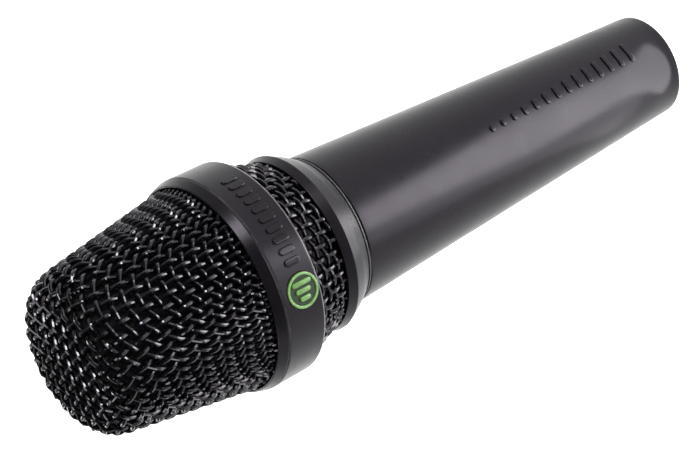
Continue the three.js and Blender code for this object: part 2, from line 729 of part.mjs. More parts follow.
function capsuleCap() {
  const skirtBottom = YOKE_TOP_Z + 2.7;
  const flangeBottom = CAPSULE_TOP_Z - 1.2;
  const skirtOuterR = CAPSULE_R - CAPSULE_WALL - FIT;
  const cap = turned([
    [skirtOuterR - 1, skirtBottom],
    [skirtOuterR, skirtBottom],
    [skirtOuterR, flangeBottom],
    [CAPSULE_R, flangeBottom],
    [CAPSULE_R - 0.6, CAPSULE_TOP_Z - 0.3],
    [0, CAPSULE_TOP_Z],
    [0, flangeBottom],
    [skirtOuterR - 1, flangeBottom],
  ]);
  const hole = () => new THREE.CylinderGeometry(1.5, 1.5, 6, 8).rotateX(Math.PI / 2);
  const ring = Array.from({ length: 8 }, (_, place) =>
    hole().translate(7.4, 0, CAPSULE_TOP_Z).rotateZ((place * Math.PI) / 4));
  return cut(cap, hole().translate(0, 0, CAPSULE_TOP_Z), ...ring);
}

function dampingFelt() {
  return disc(CHAMBER_R - CAPSULE_WALL - FIT, 118.6, 120.2);
}

const TERMINAL_Z = 112;

function terminalBoard() {
  const board = disc(CHAMBER_R - CAPSULE_WALL - FIT, TERMINAL_Z, TERMINAL_Z + 1.2);
  const lugs = [-1, 1].map((side) => box(2.5 * side, 0, TERMINAL_Z + 1.6, 2, 1.2, 1.6));
  return join(board, ...lugs);
}

// ---- Leads, along their real routes inside the handle ----

const BOARD_FACE_Y = SWITCH_FACE_Y + BOARD_TOP - 2.9;

function capsuleLead(side) {
  const x = 2.4 * side;
  return wire([
    [x, 0, TERMINAL_Z - 1.2],
    [x, 0, 104],
    [x, 1, 97],
    [x, BOARD_FACE_Y - 0.4, 90],
    [x, BOARD_FACE_Y - 0.6, 84],
  ], LEAD_R);
}

function connectorLead(pin) {
  const [x, y] = PIN_PLACES[pin];
  const startX = [3, -3, 0][pin];
  return wire([
    [startX, BOARD_FACE_Y - 1.2, 66],
    [startX, BOARD_FACE_Y - 2.2, 52],
    [x * 0.8, y * 0.5, 36],
    [x, y, 26],
    [x, y, PIN_TAIL_Z + GAP],
  ], LEAD_R);
}

// ---- Assembly ----

const microphone = new THREE.Group();

const head = new THREE.Group();
piece(head, "front_grille", frontGrille(), BLACK_WIRE);
piece(head, "grille_rim", grilleRim(), BARE_STEEL);
piece(head, "retaining_ring", retainingRing(), BLACK_CASTING);
piece(head, "head_band", headBand(), BLACK_CASTING);
piece(head, "badge", badge(), GREEN_ENAMEL);
piece(head, "rear_grille", rearGrille(), BLACK_WIRE);
piece(head, "neck_collar", neckCollar(), BLACK_CASTING);
piece(head, "front_foam", frontFoam(), BLACK_FOAM);
piece(head, "rear_foam", rearFoam(), BLACK_FOAM);

const neck = new THREE.Group();
piece(neck, "neck_oring", neckOring(), BLACK_RUBBER);
piece(neck, "neck_trim_ring", neckTrimRing(), BLACK_PLASTIC);
piece(neck, "threaded_spigot", threadedSpigot(), BRASS);

const handle = new THREE.Group();
piece(handle, "handle_tube", handleTube(), BLACK_CASTING);
piece(handle, "switch_plate", switchPlate(), BLACK_CASTING);
piece(handle, "switch_cap", switchCap(), BLACK_PLASTIC);
piece(handle, "switch_body", switchBody(), BLACK_PLASTIC);
piece(handle, "switch_board", switchBoard(), GREEN_BOARD);
piece(handle, "plate_screw_upper", plateScrew(SCREW_Z), BARE_STEEL);
piece(handle, "plate_screw_lower", plateScrew(-SCREW_Z), BARE_STEEL);
piece(handle, "connector_shell", connectorShell(), BARE_STEEL);
piece(handle, "connector_insulator", connectorInsulator(), BLACK_PLASTIC);
PIN_PLACES.forEach((place, pin) => piece(handle, `pin_${pin + 1}`, connectorPin(place), SILVER_CONTACT));
piece(handle, "connector_screw", connectorScrew(), BARE_STEEL);
piece(handle, "capsule_lead_hot", capsuleLead(1), LEAD_COLOURS.red);
piece(handle, "capsule_lead_cold", capsuleLead(-1), LEAD_COLOURS.black);
piece(handle, "connector_lead_hot", connectorLead(0), LEAD_COLOURS.red);
piece(handle, "connector_lead_cold", connectorLead(1), LEAD_COLOURS.black);
piece(handle, "connector_lead_ground", connectorLead(2), LEAD_COLOURS.bare);

const capsule = new THREE.Group();
piece(capsule, "capsule_post", capsulePost(), BLACK_PLASTIC);
piece(capsule, "shock_mount_lower", shockMountLower(), BLACK_RUBBER);
piece(capsule, "shock_mount_upper", shockMountUpper(), BLACK_RUBBER);
piece(capsule, "capsule_housing", capsuleHousing(), BLACK_PLASTIC);
piece(capsule, "yoke_cup", yokeCup(), MAGNET_METAL);
piece(capsule, "magnet", magnet(), MAGNET_METAL);
piece(capsule, "pole_piece", polePiece(), MAGNET_METAL);
piece(capsule, "motor_holder", motorHolder(), BLACK_PLASTIC);
piece(capsule, "voice_coil", voiceCoil(), COPPER);
piece(capsule, "diaphragm", diaphragm(), CLEAR_FILM);
piece(capsule, "clamp_ring", clampRing(), BRASS);
piece(capsule, "capsule_cap", capsuleCap(), BLACK_PLASTIC);
piece(capsule, "damping_felt", dampingFelt(), GREY_FELT);
piece(capsule, "terminal_board", terminalBoard(), GREEN_BOARD);

microphone.add(head, neck, handle, capsule);

export default microphone;
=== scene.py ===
import math

import bpy
import numpy as np
from mathutils import Matrix, Vector, noise


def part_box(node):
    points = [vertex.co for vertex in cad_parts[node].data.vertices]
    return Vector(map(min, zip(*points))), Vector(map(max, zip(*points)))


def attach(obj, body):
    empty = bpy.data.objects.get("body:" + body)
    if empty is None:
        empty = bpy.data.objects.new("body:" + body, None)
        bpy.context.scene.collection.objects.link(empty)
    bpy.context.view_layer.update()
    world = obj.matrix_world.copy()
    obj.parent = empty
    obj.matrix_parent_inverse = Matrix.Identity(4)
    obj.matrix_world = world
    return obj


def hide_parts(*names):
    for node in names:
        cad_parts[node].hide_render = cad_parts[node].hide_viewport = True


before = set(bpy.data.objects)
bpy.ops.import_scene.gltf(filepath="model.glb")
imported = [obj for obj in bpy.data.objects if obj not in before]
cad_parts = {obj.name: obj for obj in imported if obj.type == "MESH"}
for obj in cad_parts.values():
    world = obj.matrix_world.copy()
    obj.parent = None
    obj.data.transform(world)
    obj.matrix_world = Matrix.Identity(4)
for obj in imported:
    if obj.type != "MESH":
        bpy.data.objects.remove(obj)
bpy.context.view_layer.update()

# Lengths are millimetres until a mesh is made, and MM turns them into metres. The camera and the
# lights are placed in metres.
MM = 0.001


def lowest(node):
    """Lowest height of a CAD node, in millimetres."""
    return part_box(node)[0].z / MM


def highest(node):
    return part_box(node)[1].z / MM


def widest(node):
    """Largest reach of a CAD node along X, in millimetres."""
    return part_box(node)[1].x / MM


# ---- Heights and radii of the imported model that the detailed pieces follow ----

TOP = highest("front_grille")
RIM_BOTTOM = lowest("front_grille")
RING_TOP = highest("retaining_ring")
RING_BOTTOM = lowest("retaining_ring")
BAND_TOP = highest("head_band")
BAND_BOTTOM = lowest("head_band")
BAND_R = widest("head_band")
COLLAR_TOP = highest("neck_collar")
COLLAR_BOTTOM = lowest("neck_collar")
HANDLE_TOP = highest("handle_tube")

# The basket's outline: a shallow dome, a round corner, then a slope down to the ring.
CORNER_R = 8.75
CORNER_CENTRE_R = 10.9
CORNER_DROP = 9.6
SIDE_TILT = math.radians(90 - 8.5)
DOME_R = (CORNER_CENTRE_R**2 + CORNER_DROP**2 - CORNER_R**2) / (2 * (CORNER_DROP - CORNER_R))
DOME_TILT = math.atan2(CORNER_CENTRE_R, DOME_R - CORNER_DROP)
DOME_ARC = DOME_R * DOME_TILT
CORNER_ARC = CORNER_R * (SIDE_TILT - DOME_TILT)
MESH_THICKNESS = 1.5

STRIP_TOP_R = 24.2
STRIP_BOTTOM_R = 20.75
RIDGE_Z = COLLAR_BOTTOM + 6
RIDGE_R = 21.47
COLLAR_BOTTOM_R = 18.25
HANDLE_TOP_R = 18.1
HANDLE_END_R = 12.7
HANDLE_TAPER = math.atan((HANDLE_TOP_R - HANDLE_END_R) / HANDLE_TOP)
SPIGOT_R = 15.3
BADGE_Z = 128.4
BADGE_R = 4
SWITCH_Z = 74
SWITCH_TRAVEL = 3
PLATE_THICKNESS = 1
AXIS_R = 0.02  # an outline that reaches the axis stops just short of it


def basket(along, lift=0.0):
    """Radius, height and tilt of the basket's surface, by the distance along its outline from the tip.

    lift moves the point out along the surface's normal. tilt is the normal's angle from the axis."""
    along = np.asarray(along, float)
    tilt = np.interp(along, [0, DOME_ARC, DOME_ARC + CORNER_ARC], [0, DOME_TILT, SIDE_TILT])
    on_dome = along < DOME_ARC
    centre_r = np.where(on_dome, 0, CORNER_CENTRE_R)
    centre_z = np.where(on_dome, TOP - DOME_R, TOP - CORNER_DROP)
    bend = np.where(on_dome, DOME_R, CORNER_R) + lift
    past = np.maximum(0, along - DOME_ARC - CORNER_ARC)
    radius = centre_r + bend * np.sin(tilt) + past * math.cos(SIDE_TILT)
    height = centre_z + bend * np.cos(tilt) - past * math.sin(SIDE_TILT)
    return radius, height, tilt


def basket_length(height):
    """Distance along the basket's outline from the tip down to a height on its slope."""
    slope_start = DOME_ARC + CORNER_ARC
    start_z = float(basket(slope_start)[1])
    return slope_start + (start_z - height) / math.sin(SIDE_TILT)


def strip_radius(z):
    share = (np.minimum(z, BAND_BOTTOM) - COLLAR_TOP) / (BAND_BOTTOM - COLLAR_TOP)
    return STRIP_BOTTOM_R + share * (STRIP_TOP_R - STRIP_BOTTOM_R)


def handle_radius(z):
    return HANDLE_END_R + (HANDLE_TOP_R - HANDLE_END_R) * z / HANDLE_TOP


# ---- Making meshes ----

CREASE = math.radians(35)
EDGE_HOLD = 0.08
STRAIGHT = math.radians(4)


def made(name, points, faces, place=None):
    """A smooth-shaded object from points in millimetres, with edges sharper than CREASE kept crisp."""
    mesh = bpy.data.meshes.new(name)
    points = np.asarray(points, float) * MM
    mesh.from_pydata(points.tolist(), [], faces)
    if place is not None:
        mesh.transform(place)
    return shown(name, mesh)


def shown(name, mesh):
    crisp(mesh)
    obj = bpy.data.objects.new(name, mesh)
    bpy.context.scene.collection.objects.link(obj)
    return obj


def crisp(mesh):
    mesh.validate()
    mesh.polygons.foreach_set("use_smooth", [True] * len(mesh.polygons))
    mesh.set_sharp_from_angle(angle=CREASE)
    mesh.update()


def shifted(x=0.0, y=0.0, z=0.0):
    return Matrix.Translation(Vector((x, y, z)) * MM)


def softened(outline, radius, steps=3, closed=True):
    """The outline with its corners rounded.

    A point just outside each rounding keeps the shading of the long faces flat."""
    corners = [Vector(point) for point in outline]
    count = len(corners)
    soft = []

    def beyond(point, side):
        return tuple(point + side.normalized() * min(EDGE_HOLD, 0.05 * side.length))

    for place, corner in enumerate(corners):
        if not closed and place in (0, count - 1):
            soft.append(tuple(corner))
            continue
        back = corners[place - 1] - corner
        ahead = corners[(place + 1) % count] - corner
        turn = math.pi - back.angle(ahead)
        reach = min(radius * math.tan(turn / 2), 0.4 * back.length, 0.4 * ahead.length)
        if turn < STRAIGHT or reach < 1e-4:
            soft.append(tuple(corner))
            continue
        start = corner + back.normalized() * reach
        end = corner + ahead.normalized() * reach
        soft.append(beyond(start, back))
        for step in range(steps + 1):
            share = step / steps
            bent = start * (1 - share) ** 2 + corner * 2 * share * (1 - share) + end * share**2
            soft.append(tuple(bent))
        soft.append(beyond(end, ahead))
    return soft


def between(low, high, count):
    """Faces from one ring of points to the next, by the index of each ring's first point."""
    return [(low + k, low + (k + 1) % count, high + (k + 1) % count, high + k) for k in range(count)]


def caps(first, last, count):
    """Flat faces over the first and the last ring, which close a run of rings."""
    return tuple(first + k for k in reversed(range(count))), tuple(last + k for k in range(count))


def turned(name, outline, sides=192, closed=True, place=None):
    """A closed piece turned about Z from an outline of (radius, height).

    With closed false the outline's two ends meet the axis in flat faces."""
    rings = len(outline)
    turns = np.linspace(0, 2 * math.pi, sides, endpoint=False)
    radius, height = np.array(outline, float).T
    x = np.outer(radius, np.cos(turns))
    y = np.outer(radius, np.sin(turns))
    z = np.repeat(height[:, None], sides, axis=1)
    points = np.stack([x, y, z], -1).reshape(-1, 3)
    faces = []
    for ring in range(rings if closed else rings - 1):
        faces.extend(between(ring * sides, (ring + 1) % rings * sides, sides))
    if not closed:
        faces.extend(caps(0, (rings - 1) * sides, sides))
    return outward(made(name, points, faces, place))


def outward(obj):
    """Turns the faces of a closed mesh so that they point out."""
    mesh = obj.data
    mesh.calc_loop_triangles()
    points = np.zeros(len(mesh.vertices) * 3)
    mesh.vertices.foreach_get("co", points)
    corners = np.zeros(len(mesh.loop_triangles) * 3, int)
    mesh.loop_triangles.foreach_get("vertices", corners)
    a, b, c = points.reshape(-1, 3)[corners.reshape(-1, 3)].transpose(1, 0, 2)
    if np.einsum("ij,ij->i", a, np.cross(b, c)).sum() < 0:
        mesh.flip_normals()
        crisp(mesh)
    return obj


def prism(name, outline, bottom, top, place=None, bevel=0.0):
    """A flat outline of (x, y) raised from bottom to top along Z, its upper edge rounded by bevel."""
    flat = np.array(outline, float)
    centre = flat.mean(axis=0)
    levels = [(0, bottom), (0, top)]
    if bevel:
        steps = [(bevel * (1 - math.cos(a)), top - bevel * (1 - math.sin(a)))
                 for a in np.linspace(0, math.pi / 2, 4)]
        levels = [(0, bottom), *steps]
    reach = np.linalg.norm(flat - centre, axis=1).mean()
    count = len(flat)
    points = []
    for inset, height in levels:
        ring = centre + (flat - centre) * (1 - inset / reach)
        points.extend([x, y, height] for x, y in ring)
    floor, roof = caps(0, (len(levels) - 1) * count, count)
    faces = [floor]
    for level in range(len(levels) - 1):
        faces.extend(between(level * count, (level + 1) * count, count))
    faces.append(roof)
    return outward(made(name, points, faces, place))


def rounded_rectangle(width, length, radius, steps=6):
    """Outline points of a rectangle with round corners, centred on the origin."""
    points = []
    for quarter, (side_x, side_y) in enumerate([(1, 1), (-1, 1), (-1, -1), (1, -1)]):
        for step in range(steps + 1):
            angle = (quarter + step / steps) * math.pi / 2
            points.append((side_x * (width / 2 - radius) + radius * math.cos(angle),
                           side_y * (length / 2 - radius) + radius * math.sin(angle)))
    return points


def circle(radius, sides=32):
    turns = [2 * math.pi * side / sides for side in range(sides)]
    return [(radius * math.cos(turn), radius * math.sin(turn)) for turn in turns]


def combined(obj, operation, *tools):
    """Cuts tools out of obj, or joins them to it, and removes them."""
    for tool in tools:
        step = obj.modifiers.new("step", "BOOLEAN")
        step.operation = operation
        step.solver = "EXACT"
        step.object = tool
    graph = bpy.context.evaluated_depsgraph_get()
    mesh = bpy.data.meshes.new_from_object(obj.evaluated_get(graph))
    obj.modifiers.clear()
    obj.data = mesh
    mesh.name = obj.name
    crisp(mesh)
    for tool in tools:
        bpy.data.objects.remove(tool)
    return obj


def joined(name, pieces):
    """One object from several, each staying a closed mesh of its own."""
    points, faces = [], []
    for part in pieces:
        start = len(points)
        points.extend(tuple(corner.co) for corner in part.data.vertices)
        faces.extend(tuple(start + index for index in face.vertices) for face in part.data.polygons)
        bpy.data.objects.remove(part)
    mesh = bpy.data.meshes.new(name)
    mesh.from_pydata(points, [], faces)
    return shown(name, mesh)


# ---- Materials ----

OBJECT_SPACE = "Object"

# A node that mixes colours keeps these sockets for them.
MIX_FIRST = 6
MIX_SECOND = 7
MIX_RESULT = 2


class Finish:
    """A material under construction: its shader, and procedural textures sized in millimetres."""

    def __init__(self, name, metallic=0.0, specular=0.5, coat=0.0, tint=(1, 1, 1)):
        self.material = bpy.data.materials.new(name)
        self.material.use_nodes = True
        self.tree = self.material.node_tree
        self.shader = self.tree.nodes["Principled BSDF"]
        self.shader.inputs["Metallic"].default_value = metallic
        self.shader.inputs["Specular IOR Level"].default_value = specular
        self.shader.inputs["Coat Weight"].default_value = coat
        self.shader.inputs["Specular Tint"].default_value = (*tint, 1)
        self.place = self.add("ShaderNodeTexCoord").outputs[OBJECT_SPACE]

    def add(self, kind, **settings):
        node = self.tree.nodes.new(kind)
        for key, value in settings.items():
            setattr(node, key, value)
        return node

    def link(self, source, target):
        self.tree.links.new(source, target)

    def stretched(self, scale):
        mapping = self.add("ShaderNodeMapping")
        mapping.inputs["Scale"].default_value = scale
        self.link(self.place, mapping.inputs["Vector"])
        return mapping.outputs["Vector"]

    def noise(self, size, detail=3.0, stretch=None):
        """Noise whose features are about size millimetres across."""
        node = self.add("ShaderNodeTexNoise")
        node.inputs["Scale"].default_value = 1 / (size * MM)
        node.inputs["Detail"].default_value = detail
        self.link(self.place if stretch is None else self.stretched(stretch), node.inputs["Vector"])
        return node.outputs["Fac"]

    def cells(self, size, feature="F1"):
        node = self.add("ShaderNodeTexVoronoi", feature=feature)
        node.inputs["Scale"].default_value = 1 / (size * MM)
        self.link(self.place, node.inputs["Vector"])
        return node.outputs["Distance"]

    def rings(self, pitch, direction="Z"):
        """Even bands across one axis, pitch millimetres apart."""
        node = self.add("ShaderNodeTexWave", wave_type="BANDS", bands_direction=direction)
        node.inputs["Scale"].default_value = math.pi / 10 / (pitch * MM)
        self.link(self.place, node.inputs["Vector"])
        return node.outputs["Fac"]

    def colour(self, pattern, low, high, start=0.3, end=0.7):
        ramp = self.add("ShaderNodeValToRGB")
        ramp.color_ramp.elements[0].position = start
        ramp.color_ramp.elements[1].position = end
        ramp.color_ramp.elements[0].color = (*low, 1)
        ramp.color_ramp.elements[1].color = (*high, 1)
        self.link(pattern, ramp.inputs["Fac"])
        self.link(ramp.outputs["Color"], self.shader.inputs["Base Color"])

    def roughness(self, pattern, low, high):
        spread = self.add("ShaderNodeMapRange")
        spread.inputs["From Min"].default_value = 0.3
        spread.inputs["From Max"].default_value = 0.7
        spread.inputs["To Min"].default_value = low
        spread.inputs["To Max"].default_value = high
        self.link(pattern, spread.inputs["Value"])
        self.link(spread.outputs["Result"], self.shader.inputs["Roughness"])

    def relief(self, pattern, depth, strength=1.0):
        """Bump of a depth in millimetres. A second relief lies on the first."""
        bump = self.add("ShaderNodeBump")
        bump.inputs["Distance"].default_value = depth * MM
        bump.inputs["Strength"].default_value = strength
        self.link(pattern, bump.inputs["Height"])
        normal = self.shader.inputs["Normal"]
        if normal.is_linked:
            self.link(normal.links[0].from_socket, bump.inputs["Normal"])
        self.link(bump.outputs["Normal"], normal)

    def painted_edge_highlight(self, heights, reach, colour):
        """Painted highlight: a lighter colour along edges that run round the axis at these heights, in
        millimetres, broken up by noise as rubbed coat would be.
        """
        height = self.add("ShaderNodeSeparateXYZ")
        self.link(self.place, height.inputs["Vector"])
        highlight_lines = None
        for edge in heights:
            near = self.add("ShaderNodeMath", operation="COMPARE")
            near.inputs[1].default_value = edge * MM
            near.inputs[2].default_value = reach * MM
            self.link(height.outputs["Z"], near.inputs[0])
            if highlight_lines is not None:
                both = self.add("ShaderNodeMath", operation="MAXIMUM")
                self.link(highlight_lines, both.inputs[0])
                self.link(near.outputs["Value"], both.inputs[1])
                near = both
            highlight_lines = near.outputs["Value"]
        broken = self.add("ShaderNodeMath", operation="MULTIPLY")
        self.link(highlight_lines, broken.inputs[0])
        self.link(self.noise(3, 4), broken.inputs[1])
        mix = self.add("ShaderNodeMix", data_type="RGBA")
        self.link(broken.outputs["Value"], mix.inputs["Factor"])
        base = self.shader.inputs["Base Color"]
        self.link(base.links[0].from_socket, mix.inputs[MIX_FIRST])
        mix.inputs[MIX_SECOND].default_value = (*colour, 1)
        self.link(mix.outputs[MIX_RESULT], base)


# The tint of the castings' shine.
COOL = (0.96, 0.88, 1.0)


def casting_black():
    """Satin powder coat on a zinc casting: fine even grain, a little cloudiness, and painted highlight
    lines along its edges, broken up like rubbed coat.
    """
    finish = Finish("casting_black", specular=0.135, tint=COOL)
    finish.colour(finish.noise(14, 4), (0.0019, 0.0016, 0.0023), (0.0032, 0.0028, 0.0038))
    # The lighter lines at the handle's end and at the band's two edges are painted highlight.
    finish.painted_edge_highlight((0.1, BAND_BOTTOM + 0.15, BAND_TOP - 0.1), 0.16, (0.12, 0.115, 0.125))
    finish.roughness(finish.noise(5, 5), 0.26, 0.32)
    finish.relief(finish.noise(0.32, 2), 0.012, 0.5)
    return finish.material


def mark_gloss():
    """The casting's coat on the raised marks, worn smoother and darker than the rest."""
    finish = Finish("mark_gloss", specular=0.17, tint=COOL)
    finish.colour(finish.noise(2, 3), (0.001, 0.0008, 0.0012), (0.0022, 0.0018, 0.0026))
    finish.roughness(finish.noise(0.8, 4), 0.14, 0.22)
    finish.relief(finish.noise(0.5, 2), 0.01, 0.4)
    return finish.material


def grille_wire():
    """Gloss black lacquer on steel wire, a little uneven where it pooled."""
    finish = Finish("grille_wire", specular=0.31, tint=(0.96, 0.9, 1.0))
    finish.colour(finish.noise(2.2, 3), (0.001, 0.0009, 0.0013), (0.0024, 0.0021, 0.0029))
    finish.roughness(finish.noise(1.1, 4), 0.07, 0.14)
    finish.relief(finish.noise(0.5, 2), 0.02, 0.4)
    return finish.material


def badge_green():
    finish = Finish("badge_green", specular=0.5)
    finish.colour(finish.noise(1.2, 3), (0.045, 0.115, 0.018), (0.075, 0.17, 0.034))
    finish.roughness(finish.noise(0.6, 3), 0.26, 0.4)
    finish.relief(finish.noise(0.3, 2), 0.01, 0.4)
    return finish.material


def badge_shade():
    """The darker green paint in the badge's floor."""
    finish = Finish("badge_shade", specular=0.2)
    finish.colour(finish.noise(0.9, 3), (0.003, 0.01, 0.002), (0.007, 0.019, 0.0045))
    finish.roughness(finish.noise(0.5, 3), 0.4, 0.55)
    finish.relief(finish.noise(0.25, 2), 0.012, 0.5)
    return finish.material


def foam_black():
    """Open-cell foam: pits about half a millimetre across, painted darker towards their bottoms as
    painted shade.
    """
    finish = Finish("foam_black", specular=0.15)
    # The pits are painted darker than the cell walls around them: painted shade.
    finish.colour(finish.cells(0.55), (0.0015, 0.0015, 0.0018), (0.007, 0.0068, 0.0075), 0.1, 0.6)
    finish.roughness(finish.noise(0.6), 0.9, 1.0)
    finish.relief(finish.cells(0.55), 0.25, 0.8)
    return finish.material


def rubber_black():
    finish = Finish("rubber_black", specular=0.3)
    finish.colour(finish.noise(1.5, 4), (0.012, 0.012, 0.012), (0.024, 0.024, 0.024))
    finish.roughness(finish.noise(0.8, 4), 0.65, 0.85)
    finish.relief(finish.noise(0.2, 3), 0.01, 0.5)
    return finish.material


def plastic_black():
    """Moulded plastic with a fine spark-eroded grain."""
    finish = Finish("plastic_black", specular=0.4)
    finish.colour(finish.noise(3, 3), (0.014, 0.014, 0.015), (0.022, 0.022, 0.024))
    finish.roughness(finish.noise(1.5, 4), 0.42, 0.58)
    finish.relief(finish.cells(0.18), 0.012, 0.6)
    return finish.material


def turned_metal(name, low, high, rough):
    """Turned metal: fine marks that run round the axis."""
    finish = Finish(name, metallic=1.0)
    marks = finish.noise(0.9, 4, (0.6, 0.6, 14))
    finish.colour(finish.noise(2.5, 4), low, high)
    finish.roughness(marks, rough - 0.07, rough + 0.09)
    finish.relief(marks, 0.006, 0.5)
    return finish.material


def steel():
    return turned_metal("steel", (0.42, 0.42, 0.43), (0.6, 0.6, 0.61), 0.3)


def brass():
    return turned_metal("brass", (0.52, 0.36, 0.14), (0.66, 0.48, 0.2), 0.3)


def contact_silver():
    return turned_metal("contact_silver", (0.64, 0.62, 0.56), (0.76, 0.74, 0.68), 0.2)


def magnet_metal():
    return turned_metal("magnet_metal", (0.42, 0.42, 0.44), (0.55, 0.55, 0.57), 0.26)


def copper():
    """Fine enamelled wire, wound in even turns along the axis."""
    finish = Finish("copper", metallic=0.9, coat=0.4)
    finish.colour(finish.noise(0.7, 3), (0.48, 0.19, 0.09), (0.68, 0.3, 0.15))
    finish.roughness(finish.noise(0.4), 0.25, 0.4)
    finish.relief(finish.rings(0.12), 0.04, 0.8)
    return finish.material


def film():
    finish = Finish("film", specular=0.5, coat=0.3)
    finish.colour(finish.noise(1.6, 3), (0.42, 0.33, 0.16), (0.55, 0.45, 0.24))
    finish.roughness(finish.noise(1.0, 3), 0.16, 0.3)
    finish.relief(finish.noise(0.8, 2), 0.015, 0.4)
    return finish.material


def felt_grey():
    finish = Finish("felt_grey", specular=0.1)
    fibres = finish.noise(0.25, 6, (3, 1, 1))
    finish.colour(fibres, (0.11, 0.105, 0.1), (0.22, 0.21, 0.2))
    finish.roughness(finish.noise(0.5), 0.92, 1.0)
    finish.relief(fibres, 0.12, 0.9)
    return finish.material


def board_green():
    """Solder mask over copper tracks that run along the board."""
    finish = Finish("board_green", specular=0.5, coat=0.2)
    finish.colour(finish.rings(1.6, "X"), (0.012, 0.075, 0.035), (0.03, 0.16, 0.075), 0.35, 0.5)
    finish.roughness(finish.noise(0.7), 0.28, 0.42)
    finish.relief(finish.rings(1.6, "X"), 0.03, 0.6)
    return finish.material


def insulation(name, low, high):
    finish = Finish(name, specular=0.5)
    finish.colour(finish.noise(1.3, 3), low, high)
    finish.roughness(finish.noise(0.7, 3), 0.3, 0.45)
    finish.relief(finish.noise(0.4, 2), 0.02, 0.5)
    return finish.material


def lead_red():
    return insulation("lead_red", (0.32, 0.02, 0.015), (0.46, 0.04, 0.03))


def lead_black():
    return insulation("lead_black", (0.01, 0.01, 0.011), (0.022, 0.022, 0.024))


SLOTS = {make.__name__: make() for make in (
    casting_black, grille_wire, badge_green, foam_black, rubber_black, plastic_black, steel, brass,
    contact_silver, magnet_metal, copper, film, felt_grey, board_green, lead_red, lead_black)}
BADGE_SHADE = badge_shade()
MARK_GLOSS = mark_gloss()

# The CAD nodes that are shown as they are.
CARRIED_OVER = {
    "steel": ["grille_rim", "connector_screw"],
    "rubber_black": ["shock_mount_lower", "shock_mount_upper"],
    "plastic_black": ["switch_body", "capsule_post", "capsule_housing", "motor_holder", "capsule_cap"],
    "magnet_metal": ["yoke_cup", "magnet", "pole_piece"],
    "contact_silver": ["connector_lead_ground"],
    "brass": ["clamp_ring"],
    "copper": ["voice_coil"],
    "film": ["diaphragm"],
    "felt_grey": ["damping_felt"],
    "board_green": ["switch_board", "terminal_board"],
    "lead_red": ["capsule_lead_hot", "connector_lead_hot"],
    "lead_black": ["capsule_lead_cold", "connector_lead_cold"],
}


def dress_carried_over():
    for name, nodes in CARRIED_OVER.items():
        for node in nodes:
            shown_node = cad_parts[node]
            shown_node.material_slots[0].material = SLOTS[name]


def fit(obj, body, slot, *nodes, material=None):
    """Gives a new piece its finish and its body, and lets it stand for the CAD nodes."""
    obj.data.materials.clear()
    obj.data.materials.append(material or SLOTS[slot])
    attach(obj, body)
    if nodes:
        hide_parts(*nodes)
    return obj


# ---- Woven wire ----

WIRE_R = 0.48
WIRE_WAVE = 0.46
WIRE_SIDES = 8
WIRE_STEPS = 6  # sections between two crossings
SHORTEST_RUN = 4


def wires(name, routes):
    """Round wires as one object. A route is (points, normals), the normals pointing out of the cloth."""
    turns = np.linspace(0, 2 * math.pi, WIRE_SIDES, endpoint=False)
    points, faces, start = [], [], 0
    for line, normals in routes:
        ahead = np.gradient(line, axis=0)
        ahead /= np.linalg.norm(ahead, axis=1)[:, None]
        across = np.cross(ahead, normals)
        across /= np.linalg.norm(across, axis=1)[:, None]
        out = np.cross(across, ahead)
        ring = np.cos(turns)[:, None] * out[:, None] + np.sin(turns)[:, None] * across[:, None]
        points.append((line[:, None] + WIRE_R * ring).reshape(-1, 3))
        for section in range(len(line) - 1):
            low = start + section * WIRE_SIDES
            faces.extend(between(low, low + WIRE_SIDES, WIRE_SIDES))
        faces.extend(caps(start, start + (len(line) - 1) * WIRE_SIDES, WIRE_SIDES))
        start += len(line) * WIRE_SIDES
    return outward(made(name, np.concatenate(points), faces))


# The basket's cloth is square mesh pressed over the dome. In the middle it lies as it was woven.
# Down the sides it draws out, most of all on the bias between its two directions, and closes up
# round the basket there. SHEAR_START and SHEAR_END are distances on the flat cloth from its middle.
CLOTH_PITCH = (2.75, 2.69)
CLOTH_CENTRE = (0.6, -1.3)
CLOTH_TURN = math.radians(21.5 + 12.8)
CLOTH_SHEAR = 0.226
CLOTH_STRETCH = 0.18
CLOTH_EASE = 0.068
SHEAR_START = 1.5
SHEAR_END = 37.5


def draped(x, y):
    """Where a point of the flat cloth comes to lie: its distance along the outline, and its azimuth."""
    flat = np.hypot(x, y)
    angle = np.arctan2(y, x)
    share = np.clip((flat - SHEAR_START) / (SHEAR_END - SHEAR_START), 0, 1)
    share = share * share * (3 - 2 * share)
    along = flat * (1 + share * (CLOTH_EASE + CLOTH_STRETCH * np.sin(2 * angle) ** 2))
    azimuth = CLOTH_TURN - (angle + CLOTH_SHEAR * share * np.sin(4 * angle) / 4)
    return along, azimuth


def around(radius, azimuth, height):
    return np.stack([radius * np.cos(azimuth), radius * np.sin(azimuth), height], -1)


def basket_routes(family):
    """The wires of one direction of the basket's cloth, going over and under the other's."""
    other = 1 - family
    spacing, crossing = CLOTH_PITCH[family], CLOTH_PITCH[other]
    end = basket_length(RING_TOP - 1.2)
    count = int(end / spacing) + 1
    steps = int(end / crossing * WIRE_STEPS)
    run = np.arange(-steps, steps + 1) * crossing / WIRE_STEPS
    routes = []
    for wire in range(-count, count + 1):
        fixed = np.full_like(run, wire * spacing + CLOTH_CENTRE[family])
        moving = run + CLOTH_CENTRE[other]
        x, y = (fixed, moving) if family == 0 else (moving, fixed)
        along, azimuth = draped(x, y)
        over = (-1) ** (wire + family) * np.cos(math.pi * run / crossing)
        radius, height, tilt = basket(along, WIRE_WAVE * over - WIRE_WAVE - WIRE_R)
        kept = along < end
        if kept.sum() < SHORTEST_RUN:
            continue
        line = around(radius, azimuth, height)[kept]
        normals = around(np.sin(tilt), azimuth, np.cos(tilt))[kept]
        routes.append((line, normals))
    return routes


